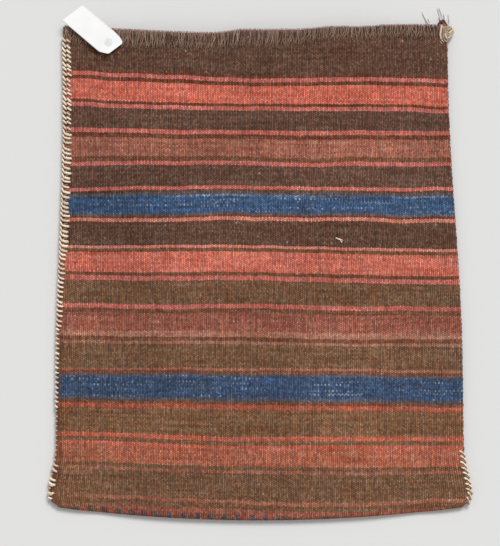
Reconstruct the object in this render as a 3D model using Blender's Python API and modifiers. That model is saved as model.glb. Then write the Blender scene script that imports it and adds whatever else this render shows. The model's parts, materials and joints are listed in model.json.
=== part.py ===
"""A woven wool storage bag, lying flat with its mouth towards +Y.

One strip of ribbed cloth is folded at the foot and whipped together along both sides. The warp
ends are turned over the mouth as a fringe, one mouth corner is bound with yarn, and a blank card
tag lies on the other. Lengths are in metres. X runs across the bag, and the floor is at Z = 0.
"""

import math

import bmesh
import bpy
from mathutils import Vector

# Outline of the bag
MOUTH_WIDTH = 0.519
FOOT_WIDTH = 0.549
BAG_LENGTH = 0.666        # from the mouth's mean line to the middle of the foot fold
LEAN = 0.0073             # sideways drift from mouth to foot
MOUTH_WAVE = 0.006        # rise and dip of the mouth's edge
MOUTH_DIP_ASIDE = 0.066   # from the middle of the mouth to the dip
MOUTH_HALF_WAVE = 0.270   # from the dip to the next crest
FOOT_BOW = 0.018          # how far the foot fold bows out between its corners
EDGE_WAVE = 0.003         # the sides' drawing in and out
WAIST_FROM_MOUTH = 0.150  # down to the place where the sides first draw in
WAIST_SPACING = 0.660     # from there down to the next drawing in
CORNER_BULGE = 0.011      # how far the foot corners stand out from the sides
CORNER_SPAN = 0.040
CORNER_RISE = 0.0145      # from the foot fold up to the fullest part of a corner
CORNER_ROUND = 0.016      # length of the rounding at a foot corner
CORNER_CUT = 0.010        # how far the rounding draws the side in

# Cloth
CLOTH_THICKNESS = 0.0024
RIB_PITCH = 0.0098        # four warps of the weave to a rib
RIB_DEPTH = 0.0006
GROOVE_SHARE = 0.34       # of a rib's width, taken by the groove beside it
POCKET_DEPTH = 0.014      # between the walls, in the middle of the bag
FOOT_DEPTH = 0.006        # the same, at the foot fold
FOOT_TAPER = 0.090        # length over which the one becomes the other
SEAM_GAP = 0.0006         # between the two edges that are sewn together
SEAM_FLAT = 0.024         # width along each side where the walls lie together
SIDE_SOFTNESS = 0.110     # width over which they part
LIFT_SOFTNESS = 0.040     # width over which the underside leaves the floor
RIPPLE = 0.0007           # height of the front wall's slow ripples
RIPPLE_LENGTH = 0.465
RIPPLE_WIDTH = 0.411
RIPPLE_SKEW = 2.2

# Yarns of the side seams
CLEARANCE = 0.0003
SEAM_YARN = 0.0021
STITCH_PITCH = 0.0067
STITCH_WIDTH = 0.0027
LEFT_REACH = 0.0105       # from the edge in to the needle's hole
LEFT_LOW_REACH = 0.0050   # the same, lower on the left side
LOW_REACH_START = 0.405   # from the mouth down to the place where it is so
LOW_REACH_END = 0.580
REACH_TAPER = 0.030       # length over which the one becomes the other
RIGHT_REACH = 0.0070
STITCH_SLANT = 0.0036
LEFT_SEAM_MARGIN = 0.012  # from the mouth down to the first stitch
LEFT_FOOT_MARGIN = 0.011  # from the foot up to the last
RIGHT_STITCH_RUN = 0.063  # length of the right side that has cream stitches
RIGHT_FOOT_MARGIN = 0.008
PLAIN_SEAM_YARN = 0.0020
PLAIN_SEAM_MARGIN = 0.009 # from the bound corner down to the plain seam

# Fringe of turned-over warp ends
FRINGE_THICKNESS = 0.0014
FRINGE_BAND = 0.0045      # depth of the band from which the tufts hang
FRINGE_LONG = 0.026       # at the tag's side
FRINGE_SHORT = 0.017      # at the bound corner
FRINGE_TAPER_X = -0.131   # where the tufts begin to shorten
FRINGE_TAPER = 0.236      # width over which they do
TUFT_GAP = 0.0012
TUFT_TIP_SHARE = 0.35     # a tip's width as a share of its tuft's
TUFT_UNEVEN = 0.12        # spread of the tufts' lengths
TUFT_LEAN = 0.15          # how far a tip leans, as a share of its tuft's width
FRINGE_LEFT_MARGIN = 0.014
FRINGE_RIGHT_MARGIN = 0.022

# Bound corner and its knot
BINDING_THICKNESS = 0.0013
BINDING_STRANDS = 4
BINDING_STRAND_PITCH = 0.0028
BINDING_RIDGE = 0.0006
BINDING_REACH = 0.015
BINDING_FAN = 0.90        # how much wider the strands spread at the mouth's edge
BINDING_MARGIN = 0.0005
KNOT_ASIDE = 0.0020       # from the middle of the strands towards the side
KNOT_WIDTH = 0.0095
KNOT_LENGTH = 0.0070
KNOT_HEIGHT = 0.0060
KNOT_GROOVE = 0.08        # depth of the grooves between its strands, as a share of its size
KNOT_STRANDS = 3
KNOT_TWIST = 14.0

# Loose yarn ends: where each starts, and its steps across and along to the floor
TAIL_YARN = 0.0018
LEFT_TAIL_INWARD = 0.0217 # from the bag's right edge
LEFT_TAIL_STEPS = ((0, 0.0030), (-0.0036, 0.0060), (-0.0030, 0.0060), (-0.0024, 0.0045))
MIDDLE_TAIL_ASIDE = -0.0012
MIDDLE_TAIL_STEPS = ((-0.0008, 0.0040), (-0.0016, 0.0050), (-0.0020, 0.0055))
RIGHT_TAIL_ASIDE = 0.0026
RIGHT_TAIL_STEPS = ((0.0006, 0.0040), (-0.0018, 0.0050), (-0.0034, 0.0068))

# Tag
TAG_LENGTH = 0.0774
TAG_WIDTH = 0.0345
TAG_THICKNESS = 0.0006
TAG_SKEW = 0.227          # the card lies out of square
TAG_END_WIDTH = 0.0224
TAG_CLIP = 0.0103         # length of the clipped corner
TAG_ROUND = 0.0242        # length of the rounded corner
TAG_INWARD = 0.0385       # from the bag's left edge to the tag's middle
TAG_BELOW = 0.002         # from the mouth's mean line down to the tag's middle
TAG_TURN = math.radians(-40.3)
PATCH_DIAMETER = 0.0110
PATCH_THICKNESS = 0.0003
PATCH_FROM_END = 0.0130
PATCH_ASIDE = 0.0010
PATCH_SIDES = 20

# Places that follow from the sizes above
MOUTH_Y = BAG_LENGTH / 2
HALF_MOUTH = MOUTH_WIDTH / 2
SIDE_LENGTH = BAG_LENGTH - FOOT_BOW
EDGE_LIFT = SEAM_YARN + 3 * CLEARANCE

# Rows of each wall, as shares of the way from mouth to foot, and angles round the fold
WALL_ROWS = (0, 0.2, 0.4, 0.6, 0.8, 0.9, 0.945, 0.975, 0.988, 1)
FOLD_ANGLES = (45, 0, -45)

# Wool colours, as linear RGB
WOOL = {
    "dark_brown": (0.107, 0.060, 0.040),
    "brown": (0.160, 0.088, 0.052),
    "olive_brown": (0.175, 0.103, 0.055),
    "madder": (0.270, 0.090, 0.068),
    "red": (0.480, 0.128, 0.088),
    "pale_red": (0.350, 0.120, 0.075),
    "blue": (0.052, 0.088, 0.178),
}
# Bands of weft from the mouth to the foot: each one's colour and width
BANDS = (
    ("dark_brown", 0.067), ("red", 0.005), ("dark_brown", 0.005), ("red", 0.023),
    ("dark_brown", 0.004), ("red", 0.004), ("dark_brown", 0.029), ("red", 0.005),
    ("dark_brown", 0.004), ("madder", 0.027), ("dark_brown", 0.006), ("red", 0.004),
    ("dark_brown", 0.029), ("red", 0.004), ("blue", 0.035), ("dark_brown", 0.003),
    ("red", 0.005), ("dark_brown", 0.032), ("red", 0.005), ("dark_brown", 0.004),
    ("red", 0.027), ("dark_brown", 0.005), ("red", 0.005), ("brown", 0.033),
    ("red", 0.005), ("brown", 0.006), ("madder", 0.025), ("pale_red", 0.008),
    ("olive_brown", 0.042), ("red", 0.005), ("blue", 0.038), ("brown", 0.003),
    ("red", 0.007), ("olive_brown", 0.036), ("red", 0.005), ("brown", 0.006),
    ("pale_red", 0.026), ("brown", 0.006), ("pale_red", 0.005), ("olive_brown", 0.037),
    ("red", 0.005), ("brown", 0.030),
)
MOST_RAMP_STOPS = 30


def smooth(t):
    """Rises from 0 to 1 with t, and is level at both ends."""
    t = min(max(t, 0.0), 1.0)
    return t * t * (3 - 2 * t)


def mix(a, b, share):
    return a + (b - a) * share


def uneven(i):
    """A number between -1 and 1 that differs from one copy of a thing to the next."""
    return math.sin(2.4 * i) * math.cos(1.1 * i)


# Shape of the bag
# u runs from -1 at the left edge to 1 at the right, and f from 0 at the mouth to 1 at the foot.


def half_width(f):
    flare = (FOOT_WIDTH - MOUTH_WIDTH) / 2 * f
    wave = -EDGE_WAVE * math.cos(2 * math.pi * (f * BAG_LENGTH - WAIST_FROM_MOUTH) / WAIST_SPACING)
    above_foot = (1 - f) * BAG_LENGTH
    bulge = CORNER_BULGE * math.exp(-(((above_foot - CORNER_RISE) / CORNER_SPAN) ** 2))
    into_corner = max(0.0, 1 - above_foot / CORNER_ROUND)
    rounding = CORNER_CUT * (1 - math.sqrt(1 - into_corner**2))
    return HALF_MOUTH + flare + wave + bulge - rounding


def mouth_y(u):
    along_wave = (u * HALF_MOUTH + MOUTH_DIP_ASIDE) / MOUTH_HALF_WAVE
    return MOUTH_Y - MOUTH_WAVE * math.cos(math.pi * along_wave)


def foot_y(u):
    return MOUTH_Y - BAG_LENGTH + FOOT_BOW * u * u


def from_side(u):
    return (1 - abs(u)) * HALF_MOUTH


def fullness(u, f):
    """0 along the sides and the foot fold, where the walls meet, and 1 in the middle."""
    across = smooth((from_side(u) - SEAM_FLAT) / SIDE_SOFTNESS)
    return across * smooth((1 - f) * BAG_LENGTH / FOOT_TAPER)


def gap(u, f):
    """The space between the two walls."""
    depth = mix(FOOT_DEPTH, POCKET_DEPTH, smooth((1 - f) * BAG_LENGTH / FOOT_TAPER))
    return mix(SEAM_GAP, depth, smooth((from_side(u) - SEAM_FLAT) / SIDE_SOFTNESS))


def underside(u):
    """Height of the back wall's outer face: raised along the sides by the yarn under it."""
    return EDGE_LIFT * (1 - smooth((from_side(u) - SEAM_FLAT) / LIFT_SOFTNESS))


def top(u, f):
    """Height of the front wall's outer face."""
    down = 2 * math.pi * f * BAG_LENGTH / RIPPLE_LENGTH
    across = 2 * math.pi * u * HALF_MOUTH / RIPPLE_WIDTH
    ripple = RIPPLE * math.sin(down + RIPPLE_SKEW * u) * math.cos(across - RIPPLE_SKEW * f)
    return underside(u) + 2 * CLOTH_THICKNESS + gap(u, f) + fullness(u, f) * ripple


def strip_point(u, row, depth):
    """The strip's point at u on this row, at this depth under its outer face."""
    part, at = row
    radius = (top(u, 1) - underside(u)) / 2
    fold_y = foot_y(u) + radius
    if part == "fold":
        angle = math.radians(at)
        reach = radius - depth
        x = u * half_width(1) + LEAN / 2
        y = fold_y - reach * math.cos(angle)
        return Vector((x, y, underside(u) + radius + reach * math.sin(angle)))
    x = u * half_width(at) + LEAN * (at - 0.5)
    y = mix(mouth_y(u), fold_y, at)
    z = top(u, at) - depth if part == "front" else underside(u) + depth
    return Vector((x, y, z))


def wall_point(part, u, f):
    """A point on the outer face of the front or back wall, between its rows."""
    k = max(i for i in range(len(WALL_ROWS) - 1) if WALL_ROWS[i] <= f)
    share = (f - WALL_ROWS[k]) / (WALL_ROWS[k + 1] - WALL_ROWS[k])
    start = strip_point(u, (part, WALL_ROWS[k]), 0)
    return start.lerp(strip_point(u, (part, WALL_ROWS[k + 1]), 0), share)


def wall_middle(u, f):
    """The point halfway between the two walls' outer faces."""
    return (wall_point("front", u, f) + wall_point("back", u, f)) / 2


def rib_count():
    """An odd count, so that a flat rib lies in the middle of the underside."""
    return 2 * round(MOUTH_WIDTH / RIB_PITCH / 2) + 1


def rib_columns():
    """(u, depth) of the outer face's points across the strip: flat ribs with a groove between."""
    count = rib_count()
    side = GROOVE_SHARE / 2
    columns = []
    for i in range(count):
        if i:
            columns.append((2 * i / count - 1, RIB_DEPTH))
        columns.append((2 * (i + (side if i else 0)) / count - 1, 0))
        columns.append((2 * (i + 1 - (side if i < count - 1 else 0)) / count - 1, 0))
    return columns


def inner_columns():
    """u of the inner face's points, from right to left, closest where the walls part."""
    swollen = SEAM_FLAT + SIDE_SOFTNESS
    steps = [0] + [SEAM_FLAT + SIDE_SOFTNESS * i / 5 for i in range(6)]
    steps += [mix(swollen, HALF_MOUTH, i / 3) for i in (1, 2)]
    side = [1 - step / HALF_MOUTH for step in steps]
    return side + [0] + [-u for u in reversed(side)]


# Making objects


def in_bag(obj, material):
    obj.data.materials.append(material)
    bag_parts.objects.link(obj)
    obj.parent = bag_empty
    return obj


def mesh_object(name, points, faces, material):
    bm = bmesh.new()
    verts = [bm.verts.new(point) for point in points]
    for face in faces:
        bm.faces.new([verts[i] for i in face])
    bmesh.ops.recalc_face_normals(bm, faces=bm.faces)
    mesh = bpy.data.meshes.new(name)
    bm.to_mesh(mesh)
    bm.free()
    return in_bag(bpy.data.objects.new(name, mesh), material)


def thick_sheet(name, points, faces, thickness, material):
    """An open sheet over the bag, whose first face looks up, thickened outwards."""
    sheet = mesh_object(name, points, faces, material)
    if sheet.data.polygons[0].normal.z < 0:
        sheet.data.flip_normals()
    shell = sheet.modifiers.new("Yarn", "SOLIDIFY")
    shell.thickness = thickness
    shell.offset = 1
    shell.use_even_offset = True
    return sheet


def yarn(name, points, diameter, material, sides=2):
    """A tube along these points, with closed ends."""
    curve = bpy.data.curves.new(name, "CURVE")
    curve.dimensions = "3D"
    curve.bevel_depth = diameter / 2
    curve.bevel_resolution = sides
    curve.use_fill_caps = True
    spline = curve.splines.new("POLY")
    spline.points.add(len(points) - 1)
    for place, point in zip(spline.points, points):
        place.co = (*point, 1)
    return in_bag(bpy.data.objects.new(name, curve), material)


def plain_material(name, colour, roughness):
    material = bpy.data.materials.new(name)
    material.use_nodes = True
    shader = material.node_tree.nodes["Principled BSDF"]
    shader.inputs["Base Color"].default_value = (*colour, 1)
    shader.inputs["Roughness"].default_value = roughness
    return material


def banded_wool():
    """Wool whose colour follows BANDS down from the mouth."""
    material = plain_material("banded_wool", WOOL["brown"], 0.9)
    nodes, links = material.node_tree.nodes, material.node_tree.links
    place = nodes.new("ShaderNodeTexCoord")
    axes = nodes.new("ShaderNodeSeparateXYZ")
    share = nodes.new("ShaderNodeMapRange")
    share.inputs["From Min"].default_value = MOUTH_Y
    share.inputs["From Max"].default_value = MOUTH_Y - BAG_LENGTH
    links.new(place.outputs["Object"], axes.inputs[0])
    links.new(axes.outputs["Y"], share.inputs["Value"])

    starts, down = [], 0.0
    for colour, width in BANDS:
        starts.append((down / BAG_LENGTH, WOOL[colour]))
        down += width
    colour_so_far = None
    for first in range(0, len(starts), MOST_RAMP_STOPS):
        ramp = nodes.new("ShaderNodeValToRGB")
        ramp.color_ramp.interpolation = "CONSTANT"
        chunk = starts[first : first + MOST_RAMP_STOPS]
        while len(ramp.color_ramp.elements) < len(chunk):
            ramp.color_ramp.elements.new(1)
        for stop, (at, colour) in zip(ramp.color_ramp.elements, chunk):
            stop.position = min(at, 1)
            stop.color = (*colour, 1)
        links.new(share.outputs["Result"], ramp.inputs["Fac"])
        if colour_so_far is None:
            colour_so_far = ramp.outputs["Color"]
            continue
        past = nodes.new("ShaderNodeMath")
        past.operation = "GREATER_THAN"
        past.inputs[1].default_value = chunk[0][0]
        links.new(share.outputs["Result"], past.inputs[0])
        both = nodes.new("ShaderNodeMixRGB")
        links.new(past.outputs[0], both.inputs["Fac"])
        links.new(colour_so_far, both.inputs["Color1"])
        links.new(ramp.outputs["Color"], both.inputs["Color2"])
        colour_so_far = both.outputs["Color"]
    links.new(colour_so_far, nodes["Principled BSDF"].inputs["Base Color"])
    return material


# The pieces


def strip_faces(first, step, count):
    """The quads of a sheet between one row of points and the next, step places on."""
    return [(first + k, first + k + 1, first + k + 1 + step, first + k + step) for k in range(count)]


def make_cloth():
    """The strip, lofted from one section: a ribbed outer face and a plain inner one."""
    rows = [("front", f) for f in WALL_ROWS]
    rows += [("fold", angle) for angle in FOLD_ANGLES]
    rows += [("back", f) for f in reversed(WALL_ROWS)]
    outer, inner = rib_columns(), inner_columns()
    section = outer + [(u, CLOTH_THICKNESS) for u in inner]
    points = [strip_point(u, row, depth) for row in rows for u, depth in section]
    count = len(section)
    faces = []
    # The two ends at the mouth, each closed between an inner point and the ribs nearest it
    nearest = [min(range(len(outer)), key=lambda j: abs(outer[j][0] - u)) for u in inner]
    for ring in (0, (len(rows) - 1) * count):
        for j in range(len(inner) - 1):
            ribs = range(nearest[j + 1], nearest[j] + 1)
            end = [*ribs, len(outer) + j, len(outer) + j + 1]
            faces.append([ring + corner for corner in end])
    for k in range(len(rows) - 1):
        ring = k * count
        faces += strip_faces(ring, count, count - 1)
        faces.append((ring + count - 1, ring, ring + count, ring + 2 * count - 1))
    return mesh_object("bag_cloth", points, faces, banded_wool())


def left_reach(down):
    """How far in the left side's stitches reach, this far down from the mouth."""
    low = smooth((down - LOW_REACH_START) / REACH_TAPER)
    low *= smooth((LOW_REACH_END - down) / REACH_TAPER)
    return mix(LEFT_REACH, LEFT_LOW_REACH, low)


def right_reach(_down):
    """How far in the right side's stitches reach: the same all the way down."""
    return RIGHT_REACH


def make_stitches(name, side, start, end, reach, material):
    """Whip stitches round a side's two edges, joined by the yarn's run along them."""
    outward = Vector((side * CLEARANCE, 0, 0))
    above = Vector((0, 0, CLEARANCE))
    points, faces = [], []
    for i in range(int((end - start) / STITCH_PITCH)):
        first = start + i * STITCH_PITCH
        inward = side * (1 - reach(first) / HALF_MOUTH)
        for at in (first, first + STITCH_WIDTH):
            over, under = at + STITCH_SLANT, at + STITCH_SLANT - STITCH_PITCH
            points.append(wall_point("front", inward, over / SIDE_LENGTH) + above)
            points.append(wall_point("front", side, at / SIDE_LENGTH) + outward + above)
            points.append(wall_point("back", side, at / SIDE_LENGTH) + outward - above)
            points.append(wall_point("back", inward, under / SIDE_LENGTH) - above)
        faces += strip_faces(8 * i, 4, 3)
        if i:
            faces += strip_faces(8 * i - 3, 4, 1)
    return thick_sheet(name, points, faces, SEAM_YARN, material)


def make_plain_seam(material):
    """The unseen brown yarn that closes the right side above the cream stitches."""
    aside = Vector((CLEARANCE + PLAIN_SEAM_YARN / 2, 0, 0))
    first = (BINDING_REACH + PLAIN_SEAM_MARGIN) / SIDE_LENGTH
    last = 1 - (RIGHT_FOOT_MARGIN + RIGHT_STITCH_RUN + STITCH_PITCH) / SIDE_LENGTH
    ends = [first] + [f for f in WALL_ROWS if first < f < last] + [last]
    points = [wall_middle(1, f) + aside for f in ends]
    return yarn("right_seam_yarn", points, PLAIN_SEAM_YARN, material)


def make_fringe(material):
    """Warp ends turned over the front wall's mouth edge: a band, and a tapering tuft to a rib."""
    count = rib_count()
    first = -1 + FRINGE_LEFT_MARGIN / HALF_MOUTH
    last = 1 - FRINGE_RIGHT_MARGIN / HALF_MOUTH
    half_gap = TUFT_GAP / 2 / HALF_MOUTH
    above = Vector((0, 0, CLEARANCE))
    points, faces = [], []
    for i in range(count):
        left = 2 * i / count - 1 + half_gap
        right = 2 * (i + 1) / count - 1 - half_gap
        if left < first or right > last:
            continue
        shortened = smooth((left * HALF_MOUTH - FRINGE_TAPER_X) / FRINGE_TAPER)
        length = mix(FRINGE_LONG, FRINGE_SHORT, shortened) * (1 + TUFT_UNEVEN * uneven(i))
        middle = (left + right) / 2 + TUFT_LEAN * (right - left) * uneven(i + 0.5)
        corner = len(points)
        for u in (left, right):
            tip = mix(middle, u, TUFT_TIP_SHARE)
            edge = Vector((wall_point("front", u, 0).x, mouth_y(u) + CLEARANCE, top(u, 0)))
            points.append(edge - Vector((0, 0, CLOTH_THICKNESS / 2)))
            points.append(edge + above)
            points.append(wall_point("front", u, FRINGE_BAND / BAG_LENGTH) + above)
            points.append(wall_point("front", tip, length / BAG_LENGTH) + above)
        faces += reversed(strip_faces(corner, 4, 3))
        if corner:
            faces += reversed(strip_faces(corner - 4, 4, 2))
    return thick_sheet("mouth_fringe", points, faces, FRINGE_THICKNESS, material)


def make_binding(material):
    """Yarn wound over both walls at the right mouth corner, as ridges fanning to the side."""
    columns = 2 * BINDING_STRANDS + 1
    below = Vector((0, 0, CLEARANCE))
    f = BINDING_REACH / BAG_LENGTH
    points, faces = [], []
    for i in range(columns):
        inward = BINDING_MARGIN + BINDING_STRAND_PITCH * (columns - 1 - i) / 2
        u = 1 - inward / HALF_MOUTH
        ridge = CLEARANCE + (BINDING_RIDGE if i % 2 else 0)
        up = Vector((0, 0, ridge))
        out = Vector((BINDING_FAN * BINDING_STRAND_PITCH * i / 2, ridge, 0))
        points.append(wall_point("front", u, f) + up)
        points.append(wall_point("front", u, 0) + up + out)
        points.append(wall_point("back", u, 0) - below + out)
        points.append(wall_point("back", u, f) - below)
        if i:
            faces += strip_faces(4 * i - 4, 4, 3)
    return thick_sheet("corner_binding", points, faces, BINDING_THICKNESS, material)


def make_knot(material):
    """The knot that ends the binding, against the outside of the mouth's edge."""
    half_binding = BINDING_STRANDS * BINDING_STRAND_PITCH / 2
    u = 1 - (BINDING_MARGIN + half_binding - KNOT_ASIDE) / HALF_MOUTH
    binding_face = max(mouth_y(u), mouth_y(1)) + CLEARANCE + BINDING_THICKNESS + BINDING_RIDGE
    middle = wall_middle(u, 0)
    middle.y = binding_face + CLEARANCE + KNOT_LENGTH / 2
    bm = bmesh.new()
    bmesh.ops.create_icosphere(bm, subdivisions=2, radius=0.5)
    for vert in bm.verts:
        turn = math.atan2(vert.co.x, vert.co.z)
        strand = math.cos(KNOT_STRANDS * turn + KNOT_TWIST * vert.co.y)
        vert.co *= 1 - KNOT_GROOVE * (1 - strand) / 2
    bmesh.ops.scale(bm, vec=(KNOT_WIDTH, KNOT_LENGTH, KNOT_HEIGHT), verts=bm.verts)
    mesh = bpy.data.meshes.new("corner_knot")
    bm.to_mesh(mesh)
    bm.free()
    mesh.shade_smooth()
    knot = in_bag(bpy.data.objects.new("corner_knot", mesh), material)
    knot.location = middle
    return middle


def make_tail(name, start, steps, material):
    """A loose yarn end that leaves start and comes down to the floor along these steps."""
    floor = TAIL_YARN / 2 + CLEARANCE
    points = [start]
    for i, (x, y) in enumerate(steps, 1):
        height = mix(start.z, floor, smooth(i / (len(steps) - 1)))
        points.append(Vector((points[-1].x + x, points[-1].y + y, height)))
    return yarn(name, points, TAIL_YARN, material, sides=1)


def make_tails(knot, material):
    past_knot = knot.y + KNOT_LENGTH / 2 + CLEARANCE
    middle = Vector((knot.x + MIDDLE_TAIL_ASIDE, past_knot, knot.z))
    right = Vector((knot.x + RIGHT_TAIL_ASIDE, past_knot, knot.z))
    make_tail("middle_yarn_tail", middle, MIDDLE_TAIL_STEPS, material)
    make_tail("right_yarn_tail", right, RIGHT_TAIL_STEPS, material)
    u = 1 - LEFT_TAIL_INWARD / HALF_MOUTH
    left = wall_point("back", u, 0) + Vector((0, CLEARANCE, CLOTH_THICKNESS / 2))
    make_tail("left_yarn_tail", left, LEFT_TAIL_STEPS, material)


def tag_outline():
    """The card's corners, from its square end round the clipped corner and the rounded one."""
    half, end = TAG_WIDTH / 2, TAG_END_WIDTH / 2
    corners = [(0, half), (0, -half), (TAG_LENGTH - TAG_CLIP, -half), (TAG_LENGTH, -end)]
    for turn in (math.radians(90 * i / 4) for i in range(5)):
        rounding = TAG_ROUND * (1 - math.cos(turn))
        corners.append((TAG_LENGTH - rounding, end + (half - end) * math.sin(turn)))
    return [(x - TAG_LENGTH / 2 + TAG_SKEW * y, y) for x, y in corners]


def flat_shape(name, outline, thickness, material):
    curve = bpy.data.curves.new(name, "CURVE")
    curve.dimensions = "2D"
    curve.fill_mode = "BOTH"
    curve.extrude = thickness / 2
    spline = curve.splines.new("POLY")
    spline.points.add(len(outline) - 1)
    for place, (x, y) in zip(spline.points, outline):
        place.co = (x, y, 0, 1)
    spline.use_cyclic_u = True
    return in_bag(bpy.data.objects.new(name, curve), material)


def tag_height(middle):
    """Height of the fringe's top under the card's highest corner."""
    height = 0.0
    for x, y in tag_outline():
        across = middle.x + x * math.cos(TAG_TURN) - y * math.sin(TAG_TURN)
        along = middle.y + x * math.sin(TAG_TURN) + y * math.cos(TAG_TURN)
        f = (MOUTH_Y - along) / BAG_LENGTH
        u = (across - LEAN * (f - 0.5)) / half_width(max(f, 0))
        if f > 0 and abs(u) < 1:
            height = max(height, wall_point("front", u, f).z)
    return height + CLEARANCE + FRINGE_THICKNESS


def make_tag(card, patch):
    """A blank card lying on the fringe at the left corner, level, with a round patch."""
    middle = Vector((TAG_INWARD - HALF_MOUTH, MOUTH_Y - TAG_BELOW, 0))
    middle.z = tag_height(middle) + CLEARANCE + TAG_THICKNESS / 2
    tag = flat_shape("tag_card", tag_outline(), TAG_THICKNESS, card)
    tag.location = middle
    tag.rotation_euler.z = TAG_TURN
    radius = PATCH_DIAMETER / 2
    turns = [2 * math.pi * i / PATCH_SIDES for i in range(PATCH_SIDES)]
    ring = [(radius * math.cos(turn), radius * math.sin(turn)) for turn in turns]
    spot = flat_shape("tag_patch", ring, PATCH_THICKNESS, patch)
    spot.parent = tag
    above = (TAG_THICKNESS + PATCH_THICKNESS) / 2 + CLEARANCE
    spot.location = (TAG_LENGTH / 2 - PATCH_FROM_END, PATCH_ASIDE, above)


for old in list(bpy.data.objects):
    bpy.data.objects.remove(old)
bag_parts = bpy.data.collections.new("storage_bag")
bpy.context.scene.collection.children.link(bag_parts)
bag_empty = bpy.data.objects.new("storage_bag_origin", None)
bag_parts.objects.link(bag_empty)

cream_yarn = plain_material("cream_yarn", (0.80, 0.66, 0.48), 0.85)
brown_yarn = plain_material("brown_yarn", (0.110, 0.060, 0.040), 0.9)
tan_yarn = plain_material("tan_yarn", (0.52, 0.38, 0.25), 0.88)
grey_yarn = plain_material("grey_yarn", (0.42, 0.39, 0.40), 0.88)
white_card = plain_material("white_card", (0.86, 0.86, 0.85), 0.6)
patch_paper = plain_material("patch_paper", (0.70, 0.70, 0.69), 0.7)

make_cloth()
left_end = SIDE_LENGTH - LEFT_FOOT_MARGIN
make_stitches("left_seam_stitches", -1, LEFT_SEAM_MARGIN, left_end, left_reach, cream_yarn)
right_end = SIDE_LENGTH - RIGHT_FOOT_MARGIN
right_start = right_end - RIGHT_STITCH_RUN
make_stitches("right_seam_stitches", 1, right_start, right_end, right_reach, cream_yarn)
make_plain_seam(brown_yarn)
make_fringe(brown_yarn)
make_binding(tan_yarn)
knot_middle = make_knot(brown_yarn)
make_tails(knot_middle, grey_yarn)
make_tag(white_card, patch_paper)
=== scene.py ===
# A hand-woven wool storage bag, lying flat with its mouth away from the viewer.
# Sizes are in metres. X runs across the bag, +Y towards its mouth, and the floor is at Z = 0.

import json
import math
import random

import bmesh
import bpy
from mathutils import Matrix, Vector

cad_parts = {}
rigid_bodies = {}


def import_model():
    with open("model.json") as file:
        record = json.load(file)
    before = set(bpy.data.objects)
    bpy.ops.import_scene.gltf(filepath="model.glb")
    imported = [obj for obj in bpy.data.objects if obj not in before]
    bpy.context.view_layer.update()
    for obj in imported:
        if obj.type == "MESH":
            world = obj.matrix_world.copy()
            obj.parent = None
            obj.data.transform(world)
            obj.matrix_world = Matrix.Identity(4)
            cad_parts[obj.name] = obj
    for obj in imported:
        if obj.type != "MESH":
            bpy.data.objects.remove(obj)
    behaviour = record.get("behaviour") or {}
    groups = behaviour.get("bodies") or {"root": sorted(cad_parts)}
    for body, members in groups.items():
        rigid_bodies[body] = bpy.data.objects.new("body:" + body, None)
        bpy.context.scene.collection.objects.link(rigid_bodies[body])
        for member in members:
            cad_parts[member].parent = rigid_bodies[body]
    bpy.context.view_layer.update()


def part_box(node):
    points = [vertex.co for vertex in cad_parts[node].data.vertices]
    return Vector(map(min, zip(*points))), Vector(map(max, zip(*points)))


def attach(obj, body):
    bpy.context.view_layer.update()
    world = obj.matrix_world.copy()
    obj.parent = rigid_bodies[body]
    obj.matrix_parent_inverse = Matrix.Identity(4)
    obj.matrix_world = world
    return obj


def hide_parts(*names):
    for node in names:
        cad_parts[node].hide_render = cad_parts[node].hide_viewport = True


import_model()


# Small tools

def smooth(t):
    t = min(max(t, 0.0), 1.0)
    return t * t * (3 - 2 * t)


def mix(a, b, share):
    return a + (b - a) * share


def seen(red, green, blue):
    # a colour as it shows on a screen, 0 to 255, turned into linear light
    return tuple(((c / 255 + 0.055) / 1.055) ** 2.4 if c > 10 else c / 3295 for c in (red, green, blue)) + (1,)


def addNode(tree, kind, inputs=None, **settings):
    node = tree.nodes.new(kind)
    for name, value in settings.items():
        setattr(node, name, value)
    for key, value in (inputs or {}).items():
        if isinstance(value, bpy.types.NodeSocket):
            tree.links.new(value, node.inputs[key])
        else:
            node.inputs[key].default_value = value
    return node


def linked(kind, inputs, **settings):
    # the output of a new node, in the tree that its linked inputs come from
    tree = next(value.id_data for value in inputs.values() if isinstance(value, bpy.types.NodeSocket))
    return addNode(tree, kind, inputs, **settings).outputs[0]


def maths(operation, *values):
    return linked("ShaderNodeMath", dict(enumerate(values)), operation=operation)


def plus(a, b):
    return maths("ADD", a, b)


def minus(a, b):
    return maths("SUBTRACT", a, b)


def times(product, *others):
    for other in others:
        product = maths("MULTIPLY", product, other)
    return product


def pair(x, y):
    return linked("ShaderNodeCombineXYZ", {0: x, 1: y})


def rescale(value, fromLow, fromHigh, low, high, kind="LINEAR"):
    return linked("ShaderNodeMapRange", {0: value, 1: fromLow, 2: fromHigh, 3: low, 4: high}, interpolation_type=kind)


def blend(share, first, second, how="MIX"):
    return linked("ShaderNodeMixRGB", {0: share, 1: first, 2: second}, blend_type=how)


def tinted(colour, tint):
    return blend(1.0, colour, tint, "MULTIPLY")


def grey(value):
    return linked("ShaderNodeCombineColor", {0: value, 1: value, 2: value})


def cloudNoise(vector, scale, detail=2.0, flat=True):
    return linked("ShaderNodeTexNoise", {"Vector": vector, "Scale": scale, "Detail": detail},
                  noise_dimensions="2D" if flat else "3D")


def whiteNoise(*values):
    # a random number for each value or pair of values
    if len(values) == 1:
        return linked("ShaderNodeTexWhiteNoise", {"W": values[0]}, noise_dimensions="1D")
    return linked("ShaderNodeTexWhiteNoise", {"Vector": pair(*values)}, noise_dimensions="2D")


def objectPlace(tree):
    return addNode(tree, "ShaderNodeTexCoord").outputs["Object"]


def uvAxes(tree, name):
    return addNode(tree, "ShaderNodeSeparateXYZ", {0: addNode(tree, "ShaderNodeUVMap", uv_map=name).outputs[0]}).outputs


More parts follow.
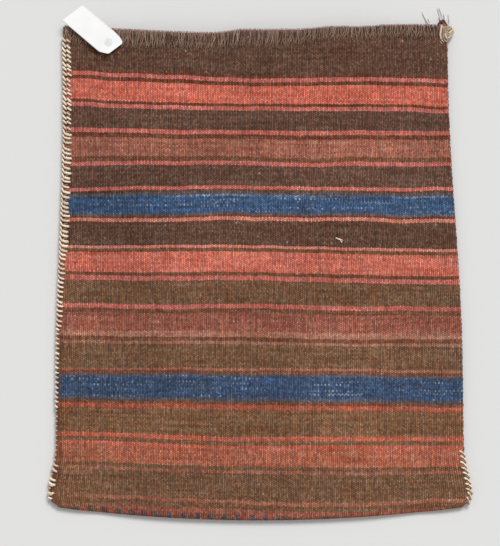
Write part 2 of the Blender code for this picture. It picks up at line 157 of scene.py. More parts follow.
def shaderValue(tree, name):
    return addNode(tree, "ShaderNodeAttribute", attribute_name=name).outputs["Fac"]


def dress(shader, colour, height, strength, distance):
    # gives the shader its colour and its relief
    bump = linked("ShaderNodeBump", {"Height": height, "Strength": strength, "Distance": distance})
    for source, name in ((colour, "Base Color"), (bump, "Normal")):
        shader.id_data.links.new(source, shader.inputs[name])


def newMaterial(name, roughness, sheen=0.0):
    material = bpy.data.materials.new(name)
    material.use_nodes = True
    shader = material.node_tree.nodes["Principled BSDF"]
    shader.inputs["Roughness"].default_value = roughness
    shader.inputs["Specular IOR Level"].default_value = 0.12
    shader.inputs["Sheen Weight"].default_value = sheen
    shader.inputs["Sheen Roughness"].default_value = 0.6
    return material, material.node_tree, shader


def newTree(name, inputs):
    # a Geometry Nodes tree with these named inputs
    tree = bpy.data.node_groups.new(name, "GeometryNodeTree")
    tree.interface.new_socket("Geometry", in_out="OUTPUT", socket_type="NodeSocketGeometry")
    tree.interface.new_socket("Geometry", in_out="INPUT", socket_type="NodeSocketGeometry")
    for label, kind in inputs.items():
        tree.interface.new_socket(label, in_out="INPUT", socket_type="NodeSocket" + kind)
    return tree, tree.nodes.new("NodeGroupInput").outputs


def endTree(geometry, material):
    whole = linked("GeometryNodeRealizeInstances", {0: geometry})
    coated = linked("GeometryNodeSetMaterial", {0: whole, "Material": material})
    addNode(geometry.id_data, "NodeGroupOutput", {0: coated})


def randomIn(tree, low, high, seed):
    vector = isinstance(low, tuple)
    first = 0 if vector else 2
    node = addNode(tree, "FunctionNodeRandomValue", {first: low, first + 1: high, 8: seed},
                   data_type="FLOAT_VECTOR" if vector else "FLOAT")
    return node.outputs[0 if vector else 1]


def named(tree, name):
    return addNode(tree, "GeometryNodeInputNamedAttribute", {"Name": name}, data_type="FLOAT").outputs[0]


def scaled(vector, scale):
    return linked("ShaderNodeVectorMath", {0: vector, "Scale": scale}, operation="SCALE")


def movedBy(geometry, offset):
    return linked("GeometryNodeSetPosition", {"Geometry": geometry, "Offset": offset})


def dotsAlong(line, pitch):
    return linked("GeometryNodeResampleCurve", {"Curve": line, "Length": pitch}, mode="LENGTH")


def shapesIn(collection):
    return linked("GeometryNodeCollectionInfo", {"Collection": collection, "Separate Children": True,
                                                 "Reset Children": True})


def stored(geometry, name, value, domain):
    return linked("GeometryNodeStoreNamedAttribute", {"Geometry": geometry, "Name": name, "Value": value},
                  data_type="FLOAT", domain=domain)


def storeFloats(mesh, **attributes):
    for name, values in attributes.items():
        mesh.attributes.new(name, "FLOAT", "POINT").data.foreach_set("value", values)


def newShelf(name):
    # a collection for the shapes that a tree sets along a line
    shelf = bpy.data.collections.new(name)
    bpy.context.scene.collection.children.link(shelf)
    return shelf


def clearShelf(shelf, *others):
    for shape in [*others, *shelf.objects]:
        bpy.data.objects.remove(shape)
    bpy.data.collections.remove(shelf)


def grow(obj, tree, values):
    # runs the tree on the object and keeps the result as its plain mesh
    modifier = obj.modifiers.new(tree.name, "NODES")
    modifier.node_group = tree
    for item in tree.interface.items_tree:
        if item.item_type == "SOCKET" and item.in_out == "INPUT" and item.name in values:
            modifier[item.identifier] = values[item.name]
    bpy.context.view_layer.update()
    depsgraph = bpy.context.evaluated_depsgraph_get()
    mesh = bpy.data.meshes.new_from_object(obj.evaluated_get(depsgraph), preserve_all_data_layers=True,
                                           depsgraph=depsgraph)
    obj.modifiers.remove(modifier)
    obj.data = mesh
    return obj


def addObject(name, data, collection=None):
    obj = bpy.data.objects.new(name, data)
    (collection or bpy.context.scene.collection).objects.link(obj)
    return obj


def settle(piece, slotName, *nodes):
    # the piece rides on the bag, and stands for these solids
    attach(piece, "root")
    if nodes:
        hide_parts(*nodes)
    print(piece.name, len(piece.data.polygons), "faces")
    return piece


# The bag's form. u runs from -1 at the left edge to 1 at the right, f from 0 at the mouth to 1 at the foot.

bag = {
    "mouthWidth": 0.519, "footWidth": 0.549, "length": 0.666, "lean": 0.0073,
    "mouthWave": 0.006, "mouthDipAside": 0.066, "mouthHalfWave": 0.270, "footBow": 0.018,
    "edgeWave": 0.003, "waistFromMouth": 0.150, "waistSpacing": 0.660,
    "cornerBulge": 0.011, "cornerSpan": 0.040, "cornerRise": 0.0145, "cornerRound": 0.016, "cornerCut": 0.010,
    "rightFullness": 0.0022, "sideFullness": 0.0034, "sideSpan": 0.26,
    "cloth": 0.0024, "pocket": 0.014, "footDepth": 0.006, "footTaper": 0.090, "seamGap": 0.0006,
    "seamFlat": 0.024, "sideSoftness": 0.110, "edgeLift": 0.0030, "liftSoftness": 0.040,
    "ripple": 0.0007, "rippleLength": 0.465, "rippleWidth": 0.411, "rippleSkew": 2.2,
    # the small ripple's lengths, how far its waves stray and over what length
    "smallRipple": 0.00035, "smallAcross": (0.083, 1.4, 0.31), "smallDown": (0.127, 1.7, 0.36),
}
mouthY = bag["length"] / 2
halfMouth = bag["mouthWidth"] / 2


def placeAcross(u, f):
    # the corners swell and are rounded at the very edge, so the warps further in stay straight
    down = f * bag["length"]
    aboveFoot = bag["length"] - down
    width = halfMouth + (bag["footWidth"] - bag["mouthWidth"]) / 2 * f
    width -= bag["edgeWave"] * math.cos(2 * math.pi * (down - bag["waistFromMouth"]) / bag["waistSpacing"])
    bulge = bag["cornerBulge"] * math.exp(-(((aboveFoot - bag["cornerRise"]) / bag["cornerSpan"]) ** 2))
    intoCorner = min(max(0.0, 1 - aboveFoot / bag["cornerRound"]), 1.0)
    rounding = bag["cornerCut"] * (1 - math.sqrt(1 - intoCorner ** 2))
    edge = bulge * abs(u) ** 5 - rounding * abs(u) ** 14
    full = bag["rightFullness"] + bag["sideFullness"] * math.exp(-(((f - 0.5) / bag["sideSpan"]) ** 2))
    return u * width + math.copysign(edge, u) + full * max(u, 0.0) ** 6 + bag["lean"] * (f - 0.5)


def steps(at, places):
    # the two places that at lies between, and how far along
    k = max([i for i in range(len(places) - 1) if places[i] <= at], default=0)
    return k, smooth((at - places[k]) / (places[k + 1] - places[k]))


# the mouth's edge is uneven: places across in metres, and how far it stands out there in millimetres
mouthPlaces = (-0.26, -0.18, -0.11, -0.055, -0.034, -0.02, -0.008, 0.016, 0.04, 0.055, 0.078, 0.1, 0.12, 0.138,
               0.162, 0.175, 0.21)
mouthOut = (0, 0.6, 0.3, -0.3, 1.2, 3.1, 2.8, 1.3, 0.2, -1, -1, -0.2, -1.1, -2.5, -2.1, -0.7, 0)


def mouthEdge(u):
    x = u * halfMouth
    k, share = steps(x, mouthPlaces)
    wave = bag["mouthWave"] * math.cos(math.pi * (x + bag["mouthDipAside"]) / bag["mouthHalfWave"])
    return mouthY - wave + mix(mouthOut[k], mouthOut[k + 1], share) / 1000


def underside(u):
    inward = (1 - abs(u)) * halfMouth
    return bag["edgeLift"] * (1 - smooth((inward - bag["seamFlat"]) / bag["liftSoftness"]))


def frontHeight(u, f):
    parted = smooth(((1 - abs(u)) * halfMouth - bag["seamFlat"]) / bag["sideSoftness"])
    open_ = smooth((1 - f) * bag["length"] / bag["footTaper"])
    gap = mix(bag["seamGap"], mix(bag["footDepth"], bag["pocket"], open_), parted)
    down, across = 2 * math.pi * f * bag["length"], 2 * math.pi * u * halfMouth
    ripple = bag["ripple"] * math.sin(down / bag["rippleLength"] + bag["rippleSkew"] * u) \
        * math.cos(across / bag["rippleWidth"] - bag["rippleSkew"] * f)
    (wide, strayWide, strayDown), (long, strayLong, strayAcross) = bag["smallAcross"], bag["smallDown"]
    ripple += bag["smallRipple"] * math.sin(across / wide + strayWide * math.sin(down / strayDown)) \
        * math.sin(down / long + strayLong * math.sin(across / strayAcross))
    return underside(u) + 2 * bag["cloth"] + gap + parted * open_ * ripple


def foldRadius(u):
    return (frontHeight(u, 1) - underside(u)) / 2


def foldLine(u):
    # where the front wall ends and the fold begins
    return mouthY - bag["length"] + bag["footBow"] * u * u + foldRadius(u)


def wallPlace(u, f):
    return placeAcross(u, f), mix(mouthEdge(u), foldLine(u), f)


def frontPoint(u, f, lift=0.0):
    x, y = wallPlace(u, f)
    return Vector((x, y, frontHeight(u, f) + lift))


def frontAt(x, y, lift=0.0):
    # the point of the front wall over this place
    u, f = x / halfMouth, 0.0
    for _ in range(4):
        f = (mouthEdge(u) - y) / (mouthEdge(u) - foldLine(u))
        u += (x - placeAcross(u, min(max(f, 0.0), 1.0))) / halfMouth
    return Vector((x, y, frontHeight(u, f) + lift))


# Yarn: tubes with twisted plies

def smoothPath(points, count):
    # a soft curve through these points, read in even steps
    points = [Vector(p) for p in points]
    ends = [points[0] * 2 - points[1]] + points + [points[-1] * 2 - points[-2]]
    path = []
    for i in range(count):
        at = i / (count - 1) * (len(points) - 1)
        k = min(int(at), len(points) - 2)
        t = at - k
        a, b, c, d = ends[k:k + 4]
        path.append(0.5 * (2 * b + (c - a) * t + (2 * a - 5 * b + 4 * c - d) * t ** 2
                           + (3 * b - a - 3 * c + d) * t ** 3))
    return path


yarnTwist = {"plies": 2, "length": 0.0052}


def newBundle():
    return {"points": [], "faces": [], "uvs": [], "shades": []}


def addYarn(bundle, path, radius, sides=8, taper=0.0, shade=0.5, groove=0.18):
    points, faces, uvs = bundle["points"], bundle["faces"], bundle["uvs"]
    first, last = len(points), len(path) - 1
    lengths = [0.0]
    for i in range(last):
        lengths.append(lengths[-1] + (path[i + 1] - path[i]).length)
    normal = (path[1] - path[0]).orthogonal().normalized()
    for i, point in enumerate(path):
        tangent = (path[min(i + 1, last)] - path[max(i - 1, 0)]).normalized()
        normal = (normal - tangent * normal.dot(tangent)).normalized()
        other = tangent.cross(normal)
        size = radius * (1 - taper * (i / last) ** 2)
        for k in range(sides):
            angle = 2 * math.pi * k / sides
            lobe = abs(math.cos(yarnTwist["plies"] / 2 * (angle - 2 * math.pi * lengths[i] / yarnTwist["length"])))
            reach = size * (1 - groove * (1 - lobe))
            points.append(point + (normal * math.cos(angle) + other * math.sin(angle)) * reach)
        if i == 0:
            startCap = point - tangent * size * 0.5
    endCap = point + tangent * size * 0.5
    for i in range(last):
        for k in range(sides):
            here, beside = first + i * sides + k, first + i * sides + (k + 1) % sides
            faces.append((here, beside, beside + sides, here + sides))
            for x, y in ((k, i), (k + 1, i), (k + 1, i + 1), (k, i + 1)):
                uvs += (x / sides, lengths[y])
    for ring, cap, length in ((0, startCap, 0.0), (last, endCap, lengths[-1])):
        points.append(cap)
        for k in range(sides):
            here, beside = first + ring * sides + k, first + ring * sides + (k + 1) % sides
            faces.append((len(points) - 1, here, beside) if ring else (len(points) - 1, beside, here))
            for _ in range(3):
                uvs += (k / sides, length)
    bundle["shades"] += [shade] * (len(points) - first)


def bundleMesh(name, bundle, shaded=True):
    mesh = bpy.data.meshes.new(name)
    mesh.from_pydata(bundle["points"], [], bundle["faces"])
    mesh.uv_layers.new(name="yarn").data.foreach_set("uv", bundle["uvs"])
    if shaded:
        storeFloats(mesh, shade=bundle["shades"])
    mesh.shade_smooth()
    return mesh


def yarnPiece(name, bundle, material):
    piece = addObject(name, bundleMesh(name, bundle))
    piece.data.materials.append(material)
    return piece


def yarnMaterial(name, dark, light, tip=None, root=None, under=None, reach=0.02):
    # shade picks between the two colours, the plies are lined with shadow, tip and root tint a strand's ends
    material, tree, shader = newMaterial(name, 0.9, 0.05)
    around, along = uvAxes(tree, "yarn")[:2]
    shade = shaderValue(tree, "shade")
    turn = minus(around, maths("DIVIDE", along, yarnTwist["length"]))
    lobe = maths("ABSOLUTE", maths("COSINE", times(turn, math.pi * yarnTwist["plies"])))
    mottle = cloudNoise(objectPlace(tree), 260.0, 3.0, flat=False)
    fibre = cloudNoise(pair(times(turn, 9.0), times(along, 700.0)), 1.0)
    mottled = plus(shade, maths("MULTIPLY_ADD", mottle, 0.9, -0.45))
    colour = blend(rescale(mottled, 0.1, 0.9, 0.0, 1.0), dark, light)
    # the under colour is painted shade, for yarn that lies beneath other yarn
    if under:
        colour = blend(rescale(shade, -0.1, 0.12, 1.0, 0.0), colour, under)
    if tip:
        colour = blend(rescale(along, reach * 0.55, reach, 0.0, 0.75), colour, tip)
    if root:
        colour = blend(rescale(along, reach * 0.22, reach * 0.4, 0.8, 0.0), colour, root)
    lining = times(rescale(lobe, 0.0, 0.45, 0.66, 1.0), rescale(fibre, 0.3, 0.7, 0.9, 1.08))
    dress(shader, tinted(colour, grey(lining)), maths("MULTIPLY_ADD", fibre, 0.35, lobe), 0.6, 0.0003)
    return material


# The cloth: one strip, folded at the foot, ribbed by its warps

weave = {
    "warps": 224, "bead": 0.0027, "ribDepth": 0.0005, "selvedgeRound": 0.0014, "drift": 0.55,
    "perWarp": 3, "frontRows": 58, "footRows": 8, "foldSteps": 8, "backRows": 36, "innerColumns": 40, "hem": 0.0012,
    # how thin the cloth is drawn at its edge and at the hem, the closer rows' share of a wall, the inner face's inset
    "squeeze": (0.35, 0.08), "footPart": 0.045, "innerInset": 0.2, "sharpAngle": math.radians(75),
}
wool = {
    "deepBrown": seen(95, 67, 53), "brown": seen(97, 69, 56), "midBrown": seen(117, 84, 61),
    "oliveBrown": seen(116, 84, 61), "warmOlive": seen(123, 88, 62), "shadow": seen(107, 62, 43),
    "warmShadow": seen(117, 76, 55), "madder": seen(156, 98, 80), "deepMadder": seen(150, 90, 74),
    "red": seen(199, 105, 86), "rose": seen(197, 109, 91), "lineRed": seen(187, 105, 94),
    "brightLine": seen(194, 121, 103), "dullLine": seen(153, 98, 79), "paleLine": seen(167, 114, 95),
    "faintRed": seen(152, 104, 84), "paleRed": seen(167, 98, 75), "brightPale": seen(184, 99, 80),
    "rust": seen(166, 87, 68), "footRed": seen(143, 85, 67), "dusk": seen(88, 82, 89), "greyShadow": seen(92, 68, 55),
    "blue": seen(59, 82, 114), "foldBlue": seen(59, 77, 105),
}
# the bands of weft from the mouth down: colour and width in millimetres
bands = [
    ("deepBrown", 63.9), ("shadow", 3.7), ("lineRed", 5.4), ("shadow", 4.5), ("red", 24), ("shadow", 3.4),
    ("lineRed", 5.9), ("brown", 26.9), ("lineRed", 5.7), ("shadow", 5.8), ("madder", 24), ("warmShadow", 6.6),
    ("lineRed", 5.2), ("brown", 27.7), ("lineRed", 4.8), ("greyShadow", 3.4), ("dusk", 4), ("blue", 23.3),
    ("dusk", 3.8), ("shadow", 2.5), ("brightLine", 4.9), ("deepBrown", 33.1), ("brightLine", 3.8),
    ("warmShadow", 5.2), ("rose", 27.4), ("warmShadow", 4.9), ("lineRed", 6.4), ("midBrown", 31.3), ("lineRed", 6),
    ("warmShadow", 6), ("deepMadder", 24.7), ("paleLine", 8.5), ("warmShadow", 5.5), ("faintRed", 3.8),
    ("oliveBrown", 32.4), ("dullLine", 3.4), ("warmShadow", 4.2), ("dusk", 3.4), ("foldBlue", 30.1), ("dusk", 4.8),
    ("warmShadow", 4), ("rust", 6.2), ("warmOlive", 36.7), ("brightPale", 6.2), ("warmOlive", 5.8),
    ("brightPale", 5.4), ("paleRed", 23), ("oliveBrown", 5.5), ("dullLine", 4.3), ("oliveBrown", 37.7),
    ("dullLine", 5.4), ("oliveBrown", 7.1), ("footRed", 7.5), ("oliveBrown", 12),
]
# how far the bands lie below or above their place in the middle, in millimetres: one row for each height
wanderColumns = (-0.239, -0.174, -0.109, -0.045, 0.004, 0.069, 0.134, 0.198, 0.247)
wanderRows = {
    0.070: (-11.5, -7.4, -4.7, -1.4, 0, -0.7, -2, -2, -0.7), 0.105: (-6.8, -3.4, -1.4, 0, 0, 0.7, 0.7, 0, 3.4),
    0.140: (-4.7, -3.4, -0.7, -0.7, 0, 0.7, 0, 0, 0), 0.182: (-0.7, -1.4, -0.7, -1.4, 0, 2, 0, 0.7, 0),
    0.215: (2, 0, 0, -1.4, 0, 0.7, 1.4, 2, 0.7), 0.257: (0.7, 1.4, 1.4, -1.4, 0, 0.7, 0, 2.7, 2),
    0.294: (0, 0, -0.7, -0.7, 0, 1.4, 3.4, 4, 4.7), 0.336: (-1.4, 0, 0, -0.7, 0, 2, 3.4, 5.4, 5.4),
    0.373: (-0.7, 0.7, 1.4, 0, 0, 2, 4, 3.4, 4.7), 0.418: (-2, -0.7, -0.7, -0.7, 0, 2, 3.4, 2.7, 3.4),
    0.460: (0, 0, -1.4, 0, 0, 0.7, 0.7, 3.4, 4), 0.511: (-3.4, -2, -2.7, -0.7, 0, 0.7, 0.7, 2, 4),
    0.554: (-6.8, -5.4, -2.7, 0, 0, -0.7, -0.7, 0, 0.7), 0.593: (-6, -4.7, -2, -0.7, 0, 0.7, 1.4, 2, 1.4),
    0.641: (-10, -8.8, -4.7, -2.7, 0, 2, 2, -0.7, -3.4),
}


def wander(x, down):
    heights = list(wanderRows)
    row, rowShare = steps(down, heights)
    column, columnShare = steps(x, wanderColumns)
    upper, lower = wanderRows[heights[row]], wanderRows[heights[row + 1]]
    above = mix(upper[column], upper[column + 1], columnShare)
    below = mix(lower[column], lower[column + 1], columnShare)
    small = 0.25 * math.sin(x * 95 + down * 31) + 0.2 * math.sin(x * 171 - down * 147 + 1.3)
    return (mix(above, below, rowShare) + small) / 1000


def bandRamps(tree, down):
    # a ramp is read in 256 even steps, so each one spans only a few bands
    span, stops, start = 8, [], 0.0
    for colour, width in bands:
        stops.append((start / 1000, wool[colour]))
        start += width
    result = None
    for first in range(0, len(stops), span):
        chunk = stops[first:first + span]
        low, high = chunk[0][0], stops[first + span][0] if first + span < len(stops) else start / 1000
        ramp = addNode(tree, "ShaderNodeValToRGB", {0: rescale(down, low, high, 0.0, 1.0)})
        ramp.color_ramp.interpolation = "CONSTANT"
        while len(ramp.color_ramp.elements) < len(chunk):
            ramp.color_ramp.elements.new(1.0)
        for stop, (at, colour) in zip(ramp.color_ramp.elements, chunk):
            stop.position, stop.color = (at - low) / (high - low), colour
        past = maths("GREATER_THAN", down, low)
        result = ramp.outputs[0] if result is None else blend(past, result, ramp.outputs[0])
    return result


def insideBand(down, name):
    # 1 within the first band of this colour, and where that band begins
    first = next(i for i, (colour, _) in enumerate(bands) if colour == name)
    start = sum(width for _, width in bands[:first]) / 1000
    half = bands[first][1] / 2000
    return maths("COMPARE", down, start + half, half), start


# marks on the cloth, in warps from the left edge and in metres down from the mouth or up from the fold
marks = {
    # one range of warps by the left edge gets painted shade under the whipping stitches
    "wornDown": (0.53, 0.64), "wornWarps": (5.3, 42.0), "wornShare": 0.8, "frontEnd": 0.75, "paintedSeamShade": (2.1, 4.8),
    "mouthHighlight": (0.002, 0.008), "fleckAbove": 0.9988, "checkPitch": 7.38, "checkShare": 0.74,
    "plainChecks": (24.0, 33.0),
    # the middle and half the width of each check, of the warps and the height that have them, and of the pale row
    "check": (3.8, 1.25), "checkWarps": (65.0, 57.5), "checkHeight": (0.0018, 0.0066), "paleRow": (0.001, 0.0014),
}


def clothMaterial():
    material, tree, shader = newMaterial("bandedWool", 0.95, 0.04)
    warpAt, downAt = uvAxes(tree, "weave")[:2]
    warp, across = maths("FLOOR", warpAt), maths("FRACT", warpAt)
    shift = times(maths("FLOORED_MODULO", warp, 2.0), 0.5)
    pick = plus(maths("DIVIDE", downAt, weave["bead"]), shift)
    bead, along = maths("FLOOR", pick), maths("FRACT", pick)
    beadDown = times(minus(plus(bead, 0.5), shift), weave["bead"])

    oneBead, otherBead, oneWarp = whiteNoise(warp, bead), whiteNoise(bead, warp), whiteNoise(warp)

    def clouds(acrossScale, downScale, detail=2.0, source=beadDown):
        return cloudNoise(pair(times(warpAt, acrossScale), times(source, downScale)), 1.0, detail)

    streak = clouds(0.73, 34.0, source=downAt)   # along single warps
    abrash = clouds(0.022, 330.0, 1.0)           # uneven dye along single rows of weft
    patch, fade = clouds(0.083, 170.0), clouds(0.015, 7.0)

    uneven = maths("MULTIPLY_ADD", oneWarp, 0.0004, -0.0002)
    length = sum(width for _, width in bands) / 1000
    # a bead where two colours meet shows a little of both
    softly = plus(times(beadDown, 0.2), times(downAt, 0.8))
    folded = maths("PINGPONG", plus(softly, uneven), length)
    colour = bandRamps(tree, folded)

    # towards the left foot corner the red bands fade into the brown ones
    worn = times(rescale(downAt, *marks["wornDown"], 0.0, marks["wornShare"], "SMOOTHSTEP"),
                 rescale(warpAt, *marks["wornWarps"], 1.0, 0.0, "SMOOTHSTEP"),
                 maths("LESS_THAN", downAt, marks["frontEnd"]))
    colour = blend(worn, colour, seen(122, 85, 60))

    # small checks of blue and red along the left half of the foot fold
    nearFold = maths("COMPARE", shaderValue(tree, "aboveFold"), *marks["checkHeight"])
    onLeft = maths("COMPARE", warp, *marks["checkWarps"])
    turn = maths("FLOORED_MODULO", minus(warpAt, times(oneBead, 0.5)), marks["checkPitch"])
    check = maths("COMPARE", turn, *marks["check"])
    oneCheck = whiteNoise(maths("FLOOR", maths("DIVIDE", warpAt, marks["checkPitch"])))
    checkBlue = blend(oneCheck, seen(62, 74, 74), seen(76, 74, 102))
    checkBlue = blend(rescale(warp, *marks["plainChecks"], 0.0, 1.0), seen(66, 67, 54), checkBlue)
    checkRed = blend(rescale(patch, 0.42, 0.55, 0.0, 1.0), seen(164, 82, 66), seen(124, 80, 60))
    colour = blend(times(nearFold, onLeft, marks["checkShare"]), colour, blend(check, checkRed, checkBlue))

    light = maths("MULTIPLY_ADD", oneBead, 0.56, 0.73)
    for noise, strength in ((streak, 1.0), (abrash, 0.9), (patch, 0.3), (fade, 0.6)):
        light = times(light, maths("MULTIPLY_ADD", noise, strength, 1 - strength / 2))
    for noise, low, high in ((abrash, (1.08, 0.99, 0.90, 1), (0.94, 1.01, 1.10, 1)),
                             (patch, (1.07, 0.96, 0.96, 1), (0.95, 1.03, 1.0, 1))):
        colour = tinted(colour, blend(rescale(noise, 0.3, 0.7, 0.0, 1.0), low, high))
    # the lightest beads are paler, and some rows of weft carry a run of pale ones
    highBlue, blueStart = insideBand(folded, "blue")
    blueness = maths("MAXIMUM", highBlue, insideBand(folded, "foldBlue")[0])
    paleRow = times(rescale(clouds(0.0165, 520.0, 0.0), 0.66, 0.76, 0.0, 0.5),
                    rescale(otherBead, 0.3, 0.7, 0.0, 1.0), maths("MULTIPLY_ADD", blueness, 1.2, 0.35))
    # the blue band begins with a row of pale beads
    rowMiddle, rowHalf = marks["paleRow"]
    topRow = times(maths("COMPARE", folded, blueStart + rowMiddle, rowHalf),
                   rescale(clouds(0.03, 5.0, 0.0), 0.42, 0.56, 0.0, 0.75))
    paleRow = maths("MAXIMUM", paleRow, times(topRow, rescale(otherBead, 0.25, 0.6, 0.2, 1.0)))
    paleBead = rescale(oneBead, 0.6, 1.0, 0.0, 0.11)
    pale = blend(0.45, colour, blend(blueness, seen(196, 170, 158), seen(178, 190, 204)))
    colour = blend(maths("MAXIMUM", paleRow, paleBead), colour, pale)
    fleck = times(maths("GREATER_THAN", otherBead, marks["fleckAbove"]), 0.35)
    colour = blend(fleck, colour, seen(180, 160, 142))
    # painted highlight: the cloth is painted paler just below the mouth, where the warps turn over
    place = objectPlace(tree)
    x, y, _ = addNode(tree, "ShaderNodeSeparateXYZ", {0: place}).outputs
    wave = maths("MULTIPLY_ADD", x, math.pi / bag["mouthHalfWave"],
                 math.pi * bag["mouthDipAside"] / bag["mouthHalfWave"])
    mouth = maths("MULTIPLY_ADD", maths("COSINE", wave), -bag["mouthWave"], mouthY)
    turned = rescale(minus(mouth, y), *marks["mouthHighlight"], 0.5, 0.0)
    colour = blend(turned, colour, seen(146, 120, 108))
    # painted shade: the left edge under the whipping stitches is painted darker where their shadow falls
    paintedSeamShade = rescale(warpAt, *marks["paintedSeamShade"], 0.4, 0.0, "SMOOTHSTEP")
    colour = blend(paintedSeamShade, colour, seen(84, 50, 32))

    # each bead of weft is a small hump, with shadow in the grooves round it
    groove = maths("ABSOLUTE", maths("MULTIPLY_ADD", across, 2.0, -1.0))
    end = maths("ABSOLUTE", maths("MULTIPLY_ADD", along, 2.0, -1.0))
    hump = times(minus(1.0, maths("POWER", groove, 2.0)), minus(1.0, times(maths("POWER", end, 2.6), 0.7)))
    fibre = cloudNoise(linked("ShaderNodeMapping", {0: place, 3: (700, 2600, 900)}), 1.0, 2.0, flat=False)
    light = times(light, rescale(hump, 0.0, 0.8, 0.3, 1.34), rescale(fibre, 0.3, 0.7, 0.92, 1.08))
    dress(shader, tinted(colour, grey(light)), maths("MULTIPLY_ADD", fibre, 0.12, hump), 0.7, 0.0006)
    return material


def drift(a, f):
    # how far a warp strays from its even place, in warps
    inside = min(a, weave["warps"] - a) / 18
    stray = math.sin(a / 12.1 + 1.7 * math.sin(f * 6.1)) + 0.9 * math.sin(a / 23.7 - 1.3 * math.sin(f * 3.9 + 1))
    return weave["drift"] * smooth(inside) * (stray + 0.5 * math.sin(a / 6.3 + f * 8.3))


def clothStrip():
    # the strip as one closed loft: points, faces, and for each point its warp, its way down the strip and its ribbing
    warps, per, thick = weave["warps"], weave["perWarp"], bag["cloth"]
    warpPitch = bag["mouthWidth"] / warps

    def rounding(a):
        t = max(0.0, 1 - min(a, warps - a) * warpPitch / weave["selvedgeRound"])
        return thick / 2 * (1 - math.sqrt(1 - t * t)), 1 - t

    columns = [(k / per, *rounding(k / per)) for k in range(per * warps + 1)]
    outerCount, inset = len(columns), weave["innerInset"]
    for k in range(weave["innerColumns"] + 1):
        a = mix(warps - inset, inset, k / weave["innerColumns"])
        columns.append((a, thick - rounding(a)[0], 0.0))
    hem, lastPart, (edgeSqueeze, hemSqueeze) = weave["hem"] / bag["length"], weave["footPart"], weave["squeeze"]
    front, back, fold = weave["frontRows"], weave["backRows"], weave["foldSteps"]
    rows = [("front", f) for f in (0, hem)] + [("front", i / front * (1 - lastPart)) for i in range(1, front + 1)]
    rows += [("front", 1 - lastPart * (1 - i / weave["footRows"])) for i in range(1, weave["footRows"] + 1)]
    rows += [("fold", 90 - 180 * i / fold) for i in range(1, fold)]
    rows += [("back", 1 - i / back) for i in range(back)] + [("back", f) for f in (hem, 0)]

    points, downs, warpAts, ribs, overFold = [], [], [], [], []
    for part, at in rows:
        squeeze = edgeSqueeze if at == 0 and part != "fold" else hemSqueeze if at == hem else 0.0
        for a, depth, ribbing in columns:
            u = 2 * (a + drift(a, 1 if part == "fold" else at)) / warps - 1
            depth = mix(depth, thick / 2, squeeze * 2) if squeeze else depth
            radius, edge = foldRadius(u), foldLine(u)
            if part == "fold":
                angle, reach = math.radians(at), radius - depth
                x = placeAcross(u, 1)
                point = (x, edge - reach * math.cos(angle), underside(u) + radius + reach * math.sin(angle))
                down = mouthY - edge - wander(x, mouthY - edge) + radius * (math.pi / 2 - angle)
                above = radius * (1 - math.cos(angle)) * (1 if angle > 0 else -1)
            else:
                x, y = wallPlace(u, at)
                point = (x, y, frontHeight(u, at) - depth if part == "front" else underside(u) + depth)
                down = mouthY - y - wander(x, mouthY - y)
                above = y - edge + radius if part == "front" else -1.0
                if part == "back":
                    atFold = mouthY - edge - wander(placeAcross(u, 1), mouthY - edge)
                    down = 2 * atFold + math.pi * radius - down
            points.append(point)
            downs.append(down)
            warpAts.append(a)
            ribs.append(ribbing if not squeeze else 0.5 * ribbing)
            overFold.append(above)

    count, faces = len(columns), []
    for r in range(len(rows) - 1):
        for k in range(count):
            a, b = r * count + k, r * count + (k + 1) % count
            faces.append((a, b, b + count, a + count))
    # the two ends at the mouth, each closed between an inner point and the ribs nearest it
    nearest = [round(per * columns[outerCount + j][0]) for j in range(count - outerCount)]
    nearest[0], nearest[-1] = outerCount - 1, 0
    for ring in (0, (len(rows) - 1) * count):
        for j in range(len(nearest) - 1):
            end = [*range(nearest[j + 1], nearest[j] + 1), outerCount + j, outerCount + j + 1]
            faces.append([ring + corner for corner in end])
    return points, faces, downs, warpAts, ribs, overFold


def ribTree():
    # lowers the cloth's outer face between its warps
    tree, given = newTree("warpRibs", {"Rib depth": "Float", "Material": "Material"})
    hollow = minus(1.0, maths("ABSOLUTE", maths("SINE", times(named(tree, "warpAt"), math.pi))))
    depth = times(hollow, named(tree, "ribbing"), given["Rib depth"])
    normal = addNode(tree, "GeometryNodeInputNormal").outputs[0]
    endTree(movedBy(given["Geometry"], scaled(normal, times(depth, -1.0))), given["Material"])
    return tree


def makeCloth():
    points, faces, downs, warpAts, ribs, overFold = clothStrip()
    mesh = bpy.data.meshes.new("bagCloth")
    mesh.from_pydata(points, [], faces)
    storeFloats(mesh, warpAt=warpAts, ribbing=ribs, aboveFold=overFold)
    bm = bmesh.new()
    bm.from_mesh(mesh)
    bmesh.ops.recalc_face_normals(bm, faces=bm.faces)
    bm.to_mesh(mesh)
    bm.free()
    uvs = []
    for loop in mesh.loops:
        uvs += (warpAts[loop.vertex_index], downs[loop.vertex_index])
    mesh.uv_layers.new(name="weave").data.foreach_set("uv", uvs)
    mesh.shade_smooth()
    cloth = addObject("bagCloth", mesh)
    grow(cloth, ribTree(), {"Rib depth": weave["ribDepth"], "Material": clothMaterial()})
    cloth.data.set_sharp_from_angle(angle=weave["sharpAngle"])
    return settle(cloth, "banded_wool", "bag_cloth")


bagCloth = makeCloth()


# The whip stitches along the sides

stitches = {
    "leftPitch": 0.0065, "rightPitch": 0.0074, "seamPitch": 0.0058, "rings": 15, "seed": 5,
    "leftStart": 0.0155, "leftEnd": 0.637, "rightStart": 0.577, "rightEnd": 0.642, "seamStart": 0.026, "seamEnd": 0.570,
    "guideSteps": 320, "jitter": 0.00035,
}
sideLength = bag["length"] - bag["footBow"]
edgeMiddle = bag["edgeLift"] + bag["cloth"] + bag["seamGap"] / 2   # height of the seam between the two walls
